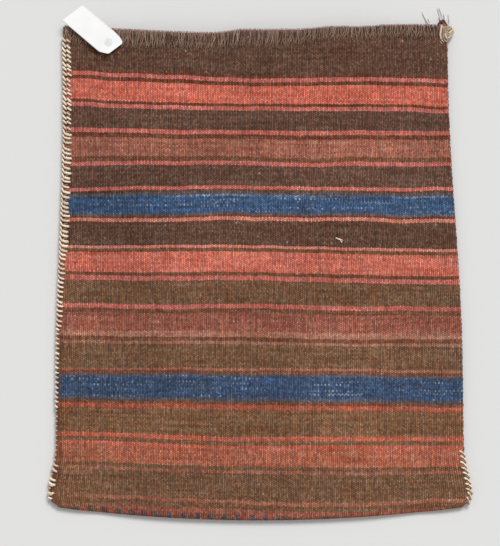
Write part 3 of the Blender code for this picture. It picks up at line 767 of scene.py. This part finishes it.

# the kinds of stitch, by hand and from mouth to foot, in millimetres: how far in a yarn lies under it, painted darker
# as painted shade, then for each yarn its radius and its way over the front wall, as places in from the edge and
# towards the foot
leftKinds = [
    (8.0, (1.25, (-0.9, 0), (0.4, 1.7), (1.7, 3.5), (2.7, 4.8)), (1.4, (4.7, 3.0), (6.0, 4.0), (7.3, 5.1), (8.5, 5.9))),
    (7.5, (1.1, (-0.9, 0), (0.1, 2.0), (1.0, 3.9), (2.4, 5.2)), (1.75, (3.2, 4.9), (5.0, 5.4), (7.0, 5.7), (8.8, 5.8))),
    (6.0, (1.1, (-0.9, 0), (0.3, 2.0), (1.6, 3.8)), (1.65, (2.2, 3.8), (4.4, 4.6), (6.6, 4.8))),
    (4.5, (1.2, (-0.9, 0), (0.1, 1.4), (0.9, 2.2)), (1.5, (2.0, 2.8), (3.4, 3.2), (5.0, 3.4))),
    (0, (1.35, (-0.9, 0), (0.5, 0.8), (1.7, 1.3))),
    (0, (0.8, (-0.5, 0), (0.3, 0.4), (0.9, 0.6))),
    (0, (1.6, (-0.9, 0), (1.0, 1.2), (3.0, 2.0), (4.4, 2.2))),
    (0, (1.9, (-1.2, 0), (1.4, 0.8), (4.6, 1.0)), (1.5, (0.6, 2.4), (2.8, 2.6))),
]
rightKinds = [
    (4.5, (0.95, (-0.7, 3.8), (0.0, 2.0), (1.3, 0.0), (3.0, -2.0)), (1.4, (3.4, -2.2), (4.6, -2.9), (5.4, -3.3))),
]
# the brown yarn lies in the groove between the two walls, in from the edge, towards the foot and up
seamKinds = [(0, (0.75, (1.0, -3.2, 0.8), (0.25, -1.4, 0.45), (0.0, 0.4, 0.0), (0.25, 2.0, -0.45), (1.0, 3.6, -0.8)))]
wallTop = 2.7   # how high the front wall's face lies over the seam


def diveBeyond(before, end):
    # where the yarn goes on into the cloth
    return (end[0] + (end[0] - before[0]) * 0.3, end[1] + (end[1] - before[1]) * 0.3, 1.2)


def stitchShapes(name, side, kinds):
    # one stitch of each kind, from the needle's hole in the back, round the edge, to the hole in the front
    shelf = newShelf(name)
    for i, (underReach, *yarns) in enumerate(kinds):
        bundle = newBundle()

        def lay(places, rings, radius, sides, shade=0.0):
            path = smoothPath([(-side * x / 1000, -y / 1000, z / 1000) for x, y, z in places], rings)
            addYarn(bundle, path, radius / 1000, sides=sides, shade=shade)

        for k, (radius, *places) in enumerate(yarns):
            over, below = wallTop + 0.7 * radius, wallTop + 0.35 * radius
            if len(places[0]) == 2:
                (x0, y0), x1 = places[0], places[-1][0]
                if k == 0:
                    start = [(x1 * 0.8, y0 - 2.6, -2.0), (x1 * 0.4, y0 - 1.6, -below), (0.4, y0 - 0.9, -below + 0.3),
                             (-radius, y0 - 0.2, -0.6), (x0 - 0.2, y0, over - 1.1)]
                else:
                    start = [diveBeyond(places[1], places[0]), (x0, y0, over - 0.2)]
                places = [*start, *[(x, y, over) for x, y in places[1:]], diveBeyond(*places[-2:])]
            lay(places, stitches["rings"], radius, 7)
        # the under yarn is the same yarn, painted darker as painted shade
        if underReach:
            lay([(underReach, 2.8, 1.6), (underReach * 0.8, 1.4, 3.0), (underReach * 0.4, 3.2, 3.1), (-0.6, 4.6, 2.2)],
                9, 1.3, 6, shade=1.0)
        mesh = bundleMesh("%s%d" % (name, i), bundle, shaded=False)
        storeFloats(mesh, under=bundle["shades"])
        addObject(mesh.name, mesh, shelf)
    return shelf


def stitchTree():
    tree, given = newTree("whipStitches", {"Stitches": "Collection", "Pitch": "Float", "Jitter": "Float", "Seed": "Int",
                                           "Material": "Material"})

    def drawn(low, high, step):
        return randomIn(tree, low, high, plus(given["Seed"], float(step)))

    jolt = scaled(randomIn(tree, (-1.0, -1.0, -0.3), (1.0, 1.0, 0.3), given["Seed"]), given["Jitter"])
    line = linked("GeometryNodeMeshToCurve", {0: given["Geometry"]})
    upward = scaled(addNode(tree, "GeometryNodeInputTangent").outputs[0], -1.0)
    aligned = linked("FunctionNodeAlignRotationToVector", {"Vector": upward}, axis="Y", pivot_axis="Z")
    spin = linked("FunctionNodeEulerToRotation", {0: drawn((-0.02, -0.03, -0.12), (0.02, 0.03, 0.12), 1)})
    kind = plus(named(tree, "kind"), drawn(-0.3, 0.3, 4))
    placed = linked("GeometryNodeInstanceOnPoints", {
        "Points": movedBy(dotsAlong(line, given["Pitch"]), jolt), "Instance": shapesIn(given["Stitches"]),
        "Pick Instance": True, "Instance Index": linked("FunctionNodeFloatToInt", {0: kind}, rounding_mode="ROUND"),
        "Rotation": linked("FunctionNodeRotateRotation", {0: aligned, 1: spin}, rotation_space="LOCAL"),
        "Scale": drawn((0.9, 0.85, 0.97), (1.08, 1.15, 1.03), 2)})
    glow = times(named(tree, "glow"), drawn(0.45, 1.1, 3))
    whole = linked("GeometryNodeRealizeInstances", {0: stored(placed, "tone", glow, "INSTANCE")})
    # painted shade: the under yarn is painted darker because it lies beneath the yarn over it
    tone = minus(named(tree, "tone"), times(named(tree, "under"), 1.3))
    endTree(stored(whole, "shade", tone, "POINT"), given["Material"])
    return tree


def sideGuide(name, side, start, end, kindAt):
    # a line down the side's edge that carries the kind of stitch and how bright its yarn is
    mesh = bpy.data.meshes.new(name)
    count = stitches["guideSteps"]
    places = [mix(start, end, i / count) for i in range(count + 1)]
    points = [(*wallPlace(side, down / sideLength), edgeMiddle) for down in places]
    mesh.from_pydata(points, [(i, i + 1) for i in range(count)], [])
    storeFloats(mesh, kind=[kindAt(down)[0] for down in places], glow=[kindAt(down)[1] for down in places])
    return addObject(name, mesh)


# where each kind of stitch begins on the left side, in metres from the mouth, and how bright it is
leftRuns = [(0.0, 0, 1.0), (0.135, 1, 1.0), (0.298, 2, 1.0), (0.336, 3, 0.95), (0.408, 4, 0.95), (0.520, 5, 0.35),
            (0.5885, 6, 0.6), (0.6015, 5, 0.4), (0.608, 6, 0.8), (0.6145, 7, 0.8), (0.621, 5, 0.4), (0.6275, 7, 0.8),
            (0.634, 4, 0.95)]


def leftKind(down):
    return next((kind, glow) for start, kind, glow in reversed(leftRuns) if down >= start)


def makeStitches(name, side, part, kindAt, kinds, material, slotName, node):
    row = sideGuide(name, side, stitches[part + "Start"], stitches[part + "End"], kindAt)
    shelf = stitchShapes(name + "Kind", side, kinds)
    grow(row, stitchTree(), {"Stitches": shelf, "Pitch": stitches[part + "Pitch"], "Jitter": stitches["jitter"],
                             "Seed": stitches["seed"], "Material": material})
    clearShelf(shelf)
    return settle(row, slotName, node)


# the cream yarn's under colour is painted shade on the yarn beneath the stitches
creamYarn = yarnMaterial("creamYarn", seen(206, 176, 146), seen(255, 238, 216), under=seen(148, 120, 94))
brownYarn = yarnMaterial("brownYarn", seen(78, 54, 43), seen(118, 86, 70))
leftStitches = makeStitches("leftSeamStitches", -1, "left", leftKind, leftKinds, creamYarn,
                            "cream_yarn", "left_seam_stitches")
rightStitches = makeStitches("rightSeamStitches", 1, "right", lambda down: (0, 0.9), rightKinds, creamYarn,
                             "cream_yarn", "right_seam_stitches")
rightSeam = makeStitches("rightSeamYarn", 1, "seam", lambda down: (0, 0.6), seamKinds, brownYarn,
                         "brown_yarn", "right_seam_yarn")


# The fringe: warp ends turned over the mouth's edge

fringe = {
    "pitch": 0.00105, "radius": 0.00048, "long": 0.0245, "short": 0.0185, "taperX": 0.035, "taper": 0.05,
    "left": -0.2570, "right": 0.2455, "variants": 9, "hairPitch": 0.0011, "hairLength": 0.0012, "seed": 11,
    "bend": 0.0052, "sway": 0.0016, "lift": (0.0002, 0.0014), "guideSteps": 160,
}


def strandShapes():
    # a few differently curved strands, drawn at the fringe's full length, that hang from the edge towards the foot
    shelf = newShelf("strandShapes")
    draw, long = random.Random(fringe["seed"]), fringe["long"]
    for i in range(fringe["variants"]):
        bend, sway = (draw.uniform(-fringe[most], fringe[most]) for most in ("bend", "sway"))
        lift = draw.uniform(*fringe["lift"])
        path = smoothPath([(0, -0.0002, -0.0030), (0, 0.0007, -0.0016), (0, 0.0009, -0.0002), (0, 0.0001, 0.0008),
                           (sway * 0.3, -0.0040, 0.0011), (sway, -long * 0.4, 0.0008 + lift * 0.6),
                           (mix(sway, bend, 0.4), -long * 0.68, 0.0007 + lift * 0.5), (bend, -long, 0.0002 + lift)], 10)
        bundle = newBundle()
        addYarn(bundle, path, fringe["radius"], sides=5, taper=0.55, groove=0.05)
        addObject("strand%d" % i, bundleMesh("strand%d" % i, bundle, shaded=False), shelf)
    return shelf


def hairShape():
    bundle = newBundle()
    long = fringe["hairLength"]
    addYarn(bundle, smoothPath([(0, 0, 0), (0, long * 0.5, 0.0001), (0.0003, long, -0.0002)], 3), 0.00012, sides=3,
            taper=0.7, groove=0.0)
    return addObject("hair", bundleMesh("hair", bundle, shaded=False))


def fringeTree():
    tree, given = newTree("turnedWarps", {"Strands": "Collection", "Hair": "Object", "Pitch": "Float",
                                          "Hair pitch": "Float", "Seed": "Int", "Material": "Material"})
    line = linked("GeometryNodeMeshToCurve", {0: given["Geometry"]})

    def seed(step):
        return plus(given["Seed"], float(step))

    def drawn(low, high, step):
        return randomIn(tree, low, high, seed(step))

    def scatter(pitch, shape, pick, jolt, swing, scale, shades, first):
        moved = movedBy(dotsAlong(line, given[pitch]), drawn(tuple(-j for j in jolt), jolt, first))
        index = addNode(tree, "FunctionNodeRandomValue", {4: 0, 5: 30, 8: seed(first + 2)}, data_type="INT").outputs[2]
        turned = linked("FunctionNodeEulerToRotation", {0: drawn(tuple(-s for s in swing), swing, first + 1)})
        placed = linked("GeometryNodeInstanceOnPoints", {"Points": moved, "Instance": shape, "Pick Instance": pick,
                                                         "Instance Index": index, "Rotation": turned, "Scale": scale})
        return stored(placed, "shade", drawn(*shades, first + 3), "INSTANCE")

    long = times(named(tree, "reach"), drawn(0.78, 1.04, 20))
    thick = drawn(0.65, 1.35, 21)
    scale = linked("ShaderNodeCombineXYZ", {0: thick, 1: long, 2: thick})
    hung = scatter("Pitch", shapesIn(given["Strands"]), True, (0.0008, 0.0002, 0.0003), (0.03, 0.0, 0.15), scale,
                   (-0.1, 1.2), 0)
    hair = addNode(tree, "GeometryNodeObjectInfo", {0: given["Hair"]}, transform_space="ORIGINAL").outputs["Geometry"]
    fuzz = scatter("Hair pitch", hair, False, (0.0005, 0.0006, 0.0008), (0.5, 0.3, 0.9),
                   drawn((0.7, 0.4, 0.7), (1.3, 1.3, 1.3), 22), (0.9, 1.3), 10)
    joined = tree.nodes.new("GeometryNodeJoinGeometry")
    for part in (hung, fuzz):
        tree.links.new(part, joined.inputs[0])
    endTree(joined.outputs[0], given["Material"])
    return tree


def makeFringe():
    mesh = bpy.data.meshes.new("mouthFringe")
    count = fringe["guideSteps"]
    us = [mix(fringe["left"], fringe["right"], i / count) / halfMouth for i in range(count + 1)]
    points = [frontPoint(u, 0.0, 0.0003) + Vector((0, 0.0006, 0)) for u in us]
    mesh.from_pydata(points, [(i, i + 1) for i in range(count)], [])
    lengths = []
    for point in points:
        shortened = smooth((point.x - fringe["taperX"]) / fringe["taper"])
        lengths.append(mix(1.0, fringe["short"] / fringe["long"], shortened))
    storeFloats(mesh, reach=lengths)
    row = addObject("mouthFringe", mesh)
    shelf, hair = strandShapes(), hairShape()
    # the strands' roots are painted paler, a painted highlight along the turned-over mouth edge
    material = yarnMaterial("fringeYarn", seen(88, 64, 56), seen(186, 156, 138), tip=seen(180, 150, 128),
                            root=seen(162, 130, 120), reach=fringe["long"])
    grow(row, fringeTree(), {"Strands": shelf, "Hair": hair, "Pitch": fringe["pitch"],
                             "Hair pitch": fringe["hairPitch"], "Seed": fringe["seed"], "Material": material})
    clearShelf(shelf, hair)
    return settle(row, "brown_yarn", "mouth_fringe")


mouthFringe = makeFringe()


# The bound corner with its knot and loose ends. Places are in millimetres.

def millimetres(*points):
    return [Vector(p) / 1000 for p in points]


corner = {
    "twistRings": 18, "tailRings": 26, "knotSteps": 60, "knotRadius": 0.00135, "knotInset": (0.0024, 0.0022, 0.0028),
    "archRadius": 0.0012, "crossRadius": 0.0009,
}
tanYarn = yarnMaterial("tanYarn", seen(154, 126, 100), seen(228, 208, 190))
knotYarn = yarnMaterial("knotYarn", seen(92, 54, 38), seen(146, 100, 76))
greyYarn = yarnMaterial("greyYarn", seen(184, 178, 184), seen(232, 227, 229))
# radius, shade and path of a pale strand down the front, tan ones beside it, then strands that bulge round the side
boundStrands = [
    (1.5, 1.1, ((250.4, 337, 3.4), (250.2, 338, 6.5), (250, 336.4, 9.6), (248.8, 330, 10.1), (248.4, 325, 10),
                (249.6, 320, 8.4))),
    (1.5, 0.3, ((253.4, 337, 3.4), (253.3, 338, 6.2), (253.1, 336, 9.3), (252.4, 330, 9.8), (252.2, 324, 9.6),
                (252.4, 320, 8.4))),
    (1.5, 0.25, ((256, 337, 3.4), (256, 338, 6.2), (255.8, 336, 9.2), (255.2, 330, 9.7), (254.6, 324, 9.4),
                 (254.4, 320, 8.2))),
    (1.4, 0.35, ((258.4, 336.6, 3.2), (258.6, 337.6, 6), (258.4, 335.4, 9.1), (257.8, 330, 9.7), (257, 325, 9.5),
                 (256.6, 321, 8.3))),
    (1.15, 1.0, ((254.8, 327, 10.6), (255, 325.4, 11.2), (256, 322.4, 11), (257, 320, 9.2))),
    (1.4, 0.4, ((257.5, 336, 2.4), (261.5, 336.8, 2.6), (263.2, 336, 5.4), (261.6, 334.2, 8.8), (258.4, 331.5, 10.6))),
    (1.5, 0.75, ((257, 333, 2.2), (262.8, 335, 2.4), (265.6, 333.6, 5.2), (263.6, 331, 8.6), (259.4, 327.5, 10.5))),
    (1.5, 0.5, ((257, 330, 2), (263.4, 331.6, 2.2), (266.4, 330.4, 5), (264, 327.8, 8.4), (259.2, 324.5, 10.3))),
    (1.4, 0.95, ((257, 327, 2), (262.6, 328.6, 2.2), (265.4, 327.2, 4.8), (262.8, 324.6, 8), (258.6, 321.5, 9.8))),
    (1.1, 0.5, ((256.8, 324, 1.9), (261, 325, 2.2), (263, 323.4, 4.6), (260.8, 321.4, 7.6), (257.8, 319, 9.3))),
    (0.95, 0.6, ((256.4, 320.6, 1.9), (259, 321.4, 2.2), (260, 319.8, 4.6), (258.6, 318.4, 7.4), (256.4, 316.4, 9))),
    (0.7, 0.8, ((249.6, 319, 8.5), (251.4, 317.6, 9.4), (253.2, 315.8, 8.4))),
    (0.7, 0.6, ((253.2, 319.4, 8.5), (255, 317.8, 9.4), (256.8, 315.8, 8.4))),
    (0.6, 0.5, ((248.2, 316.4, 8.5), (249.4, 315.2, 9.1), (250.8, 313.6, 8.4))),
]


def makeBinding():
    bundle = newBundle()
    for radius, shade, points in boundStrands:
        addYarn(bundle, smoothPath(millimetres(*points), corner["twistRings"]), radius / 1000, sides=9, shade=shade)
    return settle(yarnPiece("cornerBinding", bundle, tanYarn), "tan_yarn", "corner_binding")


def makeKnot():
    bundle = newBundle()
    low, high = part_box("corner_knot")
    middle, room = (low + high) / 2, high - low - Vector(corner["knotInset"])
    # an overhand knot is a trefoil
    path, steps = [], corner["knotSteps"]
    for i in range(steps + 1):
        t = 2 * math.pi * i / steps
        x, y, z = math.sin(t) + 2 * math.sin(2 * t), math.cos(t) - 2 * math.cos(2 * t), -math.sin(3 * t)
        path.append(middle + Vector((x / 6 * room.x, y / 6 * room.y, z / 2 * room.z)))
    addYarn(bundle, path, corner["knotRadius"], sides=9, shade=0.35)
    arch = millimetres((245.4, 338.4, 7.2), (246.6, 341.4, 8.6), (250.4, 343.4, 9), (254.6, 342.4, 8.6),
                       (257.4, 338.6, 8.2))
    addYarn(bundle, smoothPath(arch, 22), corner["archRadius"], sides=9, shade=0.15)
    cross = millimetres((247.6, 346, 6.6), (250.2, 343.8, 8.8), (253, 340.6, 9.4), (254.8, 337.6, 9.8))
    addYarn(bundle, smoothPath(cross, 16), corner["crossRadius"], sides=8, shade=1.0)
    return settle(yarnPiece("cornerKnot", bundle, knotYarn), "brown_yarn", "corner_knot")


def makeTail(name, node, lines):
    bundle = newBundle()
    for radius, taper, shade, points in lines:
        path = smoothPath(millimetres(*points), corner["tailRings"])
        addYarn(bundle, path, radius / 1000, sides=7, taper=taper, shade=shade)
    settle(yarnPiece(name, bundle, greyYarn), "grey_yarn", node)


cornerBinding = makeBinding()
makeKnot()
makeTail("leftYarnTail", "left_yarn_tail", [
    (1.05, 0.4, 0.9, ((238.6, 337.4, 6), (236.8, 339.6, 5.6), (233.2, 342, 3.2), (229, 348.6, 1.3), (226, 354.4, 1.1),
                      (225, 358.2, 0.9))),
    (0.75, 0.5, 0.6, ((238, 337.8, 5.4), (236, 341.4, 3.2), (233.8, 345.6, 1), (232.4, 349, 0.8))),
    (0.65, 0.5, 0.7, ((233.2, 338, 5.2), (231.6, 340, 3), (230.2, 342.4, 0.9), (229.2, 344.6, 0.7))),
    (0.95, 0.2, 0.9, ((236.8, 336.6, 8), (238.2, 337.6, 8.4), (239.6, 338, 7.2), (239.8, 337.4, 5.8))),
])
makeTail("middleYarnTail", "middle_yarn_tail", [
    (1.0, 0.4, 0.8, ((249.8, 345.4, 6), (248.8, 349, 3), (248.4, 353, 1.3), (246.8, 358, 1.1), (245.8, 362.6, 1))),
    (0.8, 0.5, 0.6, ((250.6, 346, 5), (251.4, 351, 2.4), (250.4, 356, 1), (248.4, 360.4, 0.9), (247.8, 363.6, 0.8))),
    (0.6, 0.4, 0.4, ((246.4, 341.2, 7.4), (246.8, 344.4, 6.6), (248.8, 345.6, 6), (250, 343.6, 6.6))),
])
makeTail("rightYarnTail", "right_yarn_tail", [
    (1.5, 0.6, 0.9, ((254.8, 345.0, 6.2), (255.8, 348.6, 3.6), (255.2, 352.0, 1.8), (254.2, 354.8, 1.4))),
    (1.1, 0.6, 0.95, ((255.4, 345.2, 5.8), (256.6, 349.0, 3.0), (256.8, 352.4, 1.4), (256.4, 354.8, 1.1))),
    (0.6, 0.4, 0.4, ((258.4, 338.6, 6.4), (260.8, 342.0, 3.6), (260.8, 347.4, 1.1), (259.6, 354.2, 0.8))),
])


# The blank card tag and its round patch

tag = {
    "length": 0.0774, "width": 0.0345, "thickness": 0.0006, "skew": 0.227, "endWidth": 0.0224, "clip": 0.0103,
    "round": 0.0242, "middleX": -0.2210, "middleY": 0.3310, "turn": math.radians(-40.3), "bend": 0.0005,
    "patchDiameter": 0.0110, "patchFromEnd": 0.0130, "patchAside": 0.0010, "cornerRadius": 0.0024, "softEdge": 0.00018,
    "cuts": 12, "patchSides": 40, "patchThickness": 0.0002, "patchGap": 0.00005, "patchEdge": 0.00006,
    "sharpAngle": math.radians(50),
}


def roundOff(corners, radius):
    # the same outline with each corner cut by a small arc
    outline = []
    for i, point in enumerate(corners):
        before, after = corners[i - 1], corners[(i + 1) % len(corners)]
        cut = min(radius, (before - point).length * 0.45, (after - point).length * 0.45)
        start, end = point + (before - point).normalized() * cut, point + (after - point).normalized() * cut
        for k in range(4):
            t = k / 3
            outline.append(start * (1 - t) ** 2 + point * 2 * t * (1 - t) + end * t * t)
    return outline


def toTag(point, height):
    turn = Matrix.Rotation(tag["turn"], 3, "Z")
    return turn @ Vector((point[0], point[1], 0)) + Vector((tag["middleX"], tag["middleY"], height))


def bendOf(x):
    # the card rises a little towards its square end
    return tag["bend"] * (2 * x / tag["length"]) ** 2 * (1 if x < 0 else 0)


def flatPiece(name, outline, thickness, floor, bevel, cuts=0):
    bm = bmesh.new()
    face = bm.faces.new([bm.verts.new((p.x, p.y, 0)) for p in outline])
    top = bmesh.ops.extrude_face_region(bm, geom=[face])
    raised = [v for v in top["geom"] if isinstance(v, bmesh.types.BMVert)]
    bmesh.ops.translate(bm, verts=raised, vec=(0, 0, thickness))
    for i in range(1, cuts):
        bmesh.ops.bisect_plane(bm, geom=bm.verts[:] + bm.edges[:] + bm.faces[:],
                               plane_co=(tag["length"] * (i / cuts - 0.5), 0, 0), plane_no=(1, 0, 0))
    for v in bm.verts:
        v.co = toTag(v.co, floor + v.co.z + bendOf(v.co.x))
    bmesh.ops.recalc_face_normals(bm, faces=bm.faces)
    mesh = bpy.data.meshes.new(name)
    bm.to_mesh(mesh)
    bm.free()
    piece = addObject(name, mesh)
    edge = piece.modifiers.new("softEdge", "BEVEL")
    edge.width, edge.segments, edge.angle_limit = bevel, 2, tag["sharpAngle"]
    edge.limit_method = "ANGLE"
    mesh.shade_smooth()
    mesh.set_sharp_from_angle(angle=tag["sharpAngle"])
    return piece


def cardMaterial():
    material, tree, shader = newMaterial("whiteCard", 0.55)
    place = objectPlace(tree)
    grain = cloudNoise(place, 1400.0, 3.0, flat=False)
    stain = cloudNoise(place, 45.0, 3.0, flat=False)
    colour = blend(rescale(stain, 0.4, 0.72, 0.0, 0.4), seen(252, 252, 252), seen(238, 237, 235))
    # painted shade: the card's long edges and square end are painted greyer
    along = linked("ShaderNodeMapping", {0: place, 1: (tag["middleX"], tag["middleY"], 0), 2: (0, 0, tag["turn"])},
                   vector_type="TEXTURE")
    lengthwise, crosswise = addNode(tree, "ShaderNodeSeparateXYZ", {0: along}).outputs[:2]
    half = tag["width"] / 2
    endward = maths("MULTIPLY_ADD", crosswise, tag["skew"], -tag["length"] / 2)
    paintedEdgeShade = maths("MAXIMUM", rescale(maths("ABSOLUTE", crosswise), half - 0.0016, half - 0.0006, 0.0, 0.6),
                rescale(minus(lengthwise, endward), 0.0012, 0.0022, 0.6, 0.0))
    colour = blend(paintedEdgeShade, colour, seen(206, 202, 196))
    colour = tinted(colour, grey(rescale(grain, 0.3, 0.7, 0.98, 1.0)))
    dress(shader, colour, grain, 0.15, 0.0001)
    return material


def patchMaterial():
    material, tree, shader = newMaterial("patchPaper", 0.7)
    blotch = cloudNoise(objectPlace(tree), 260.0, 3.0, flat=False)
    colour = blend(rescale(blotch, 0.35, 0.65, 0.0, 1.0), seen(222, 222, 220), seen(240, 240, 238))
    dress(shader, colour, blotch, 0.2, 0.0001)
    return material


def makeTag():
    half, end = tag["width"] / 2, tag["endWidth"] / 2
    corners = [(0, half), (0, -half), (tag["length"] - tag["clip"], -half), (tag["length"], -end)]
    for i in range(5):
        turn = math.radians(90 * i / 4)
        corners.append((tag["length"] - tag["round"] * (1 - math.cos(turn)), end + (half - end) * math.sin(turn)))
    corners = [Vector((x - tag["length"] / 2 + tag["skew"] * y, y)) for x, y in corners]
    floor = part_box("tag_card")[0].z
    card = flatPiece("tagCard", roundOff(corners, tag["cornerRadius"]), tag["thickness"], floor, tag["softEdge"],
                     tag["cuts"])
    card.data.materials.append(cardMaterial())
    middle, sides = Vector((tag["length"] / 2 - tag["patchFromEnd"], tag["patchAside"])), tag["patchSides"]
    ring = [middle + Vector((math.cos(t), math.sin(t))) * tag["patchDiameter"] / 2
            for t in (2 * math.pi * i / sides for i in range(sides))]
    patch = flatPiece("tagPatch", ring, tag["patchThickness"], floor + tag["thickness"] + tag["patchGap"],
                      tag["patchEdge"])
    patch.data.materials.append(patchMaterial())
    settle(card, "white_card", "tag_card")
    settle(patch, "patch_paper", "tag_patch")


makeTag()


# A pale wisp of wool that is caught on the front wall

def makeWisp():
    bundle = newBundle()
    for radius, points in ((0.8, ((106.4, 50.4), (109.6, 48.8), (112.4, 47.6), (115.2, 44.6))),
                           (0.55, ((110.6, 49.2), (113.8, 48.2), (116.2, 46.8))),
                           (0.5, ((112.6, 46.6), (113.8, 44.8), (114.2, 43.2)))):
        path = [frontAt(x / 1000, y / 1000, radius * 0.0007 + 0.0002) for x, y in points]
        addYarn(bundle, smoothPath(path, 14), radius / 1000, sides=7, taper=0.6, shade=0.9)
    return settle(yarnPiece("woolWisp", bundle, creamYarn), "cream_yarn")


woolWisp = makeWisp()


# Floor, light and camera

studio = {
    "floor": (0.76, 0.76, 0.75, 1), "worldLight": 0.5, "sun": 2.2, "sunAngle": math.radians(22),
    "sunFrom": (0.22, 0.66, 0.72), "viewX": -0.00945, "viewY": 0.0029, "viewHeight": 0.7371,
    "distance": 2.5, "subjectHeight": 0.018,
}

floorMesh = bpy.data.meshes.new("floor")
floorMesh.from_pydata([(-4, -4, 0), (4, -4, 0), (4, 4, 0), (-4, 4, 0)], [], [(0, 1, 2, 3)])
floor = addObject("floor", floorMesh)
floorMaterial, floorTree, floorShader = newMaterial("paleFloor", 0.9)
floorShader.inputs["Base Color"].default_value = studio["floor"]
floorMesh.materials.append(floorMaterial)

world = bpy.data.worlds.new("studio")
bpy.context.scene.world = world
world.use_nodes = True
world.node_tree.nodes["Background"].inputs["Color"].default_value = (1, 1, 1, 1)
world.node_tree.nodes["Background"].inputs["Strength"].default_value = studio["worldLight"]

sun = bpy.data.lights.new("softKey", "SUN")
sun.energy, sun.angle = studio["sun"], studio["sunAngle"]
sunObject = addObject("softKey", sun)
sunObject.rotation_mode = "QUATERNION"
sunObject.rotation_quaternion = Vector(studio["sunFrom"]).to_track_quat("Z", "Y")

camera = bpy.data.cameras.new("camera")
camera.sensor_fit, camera.sensor_height = "VERTICAL", 36
camera.lens = 36 * (studio["distance"] - studio["subjectHeight"]) / studio["viewHeight"]
camera.clip_end = 20
cameraObject = addObject("camera", camera)
cameraObject.location = (studio["viewX"], studio["viewY"], studio["distance"])
bpy.context.scene.camera = cameraObject
bpy.context.scene.view_settings.view_transform = "Standard"
print("floor, light and camera are set")
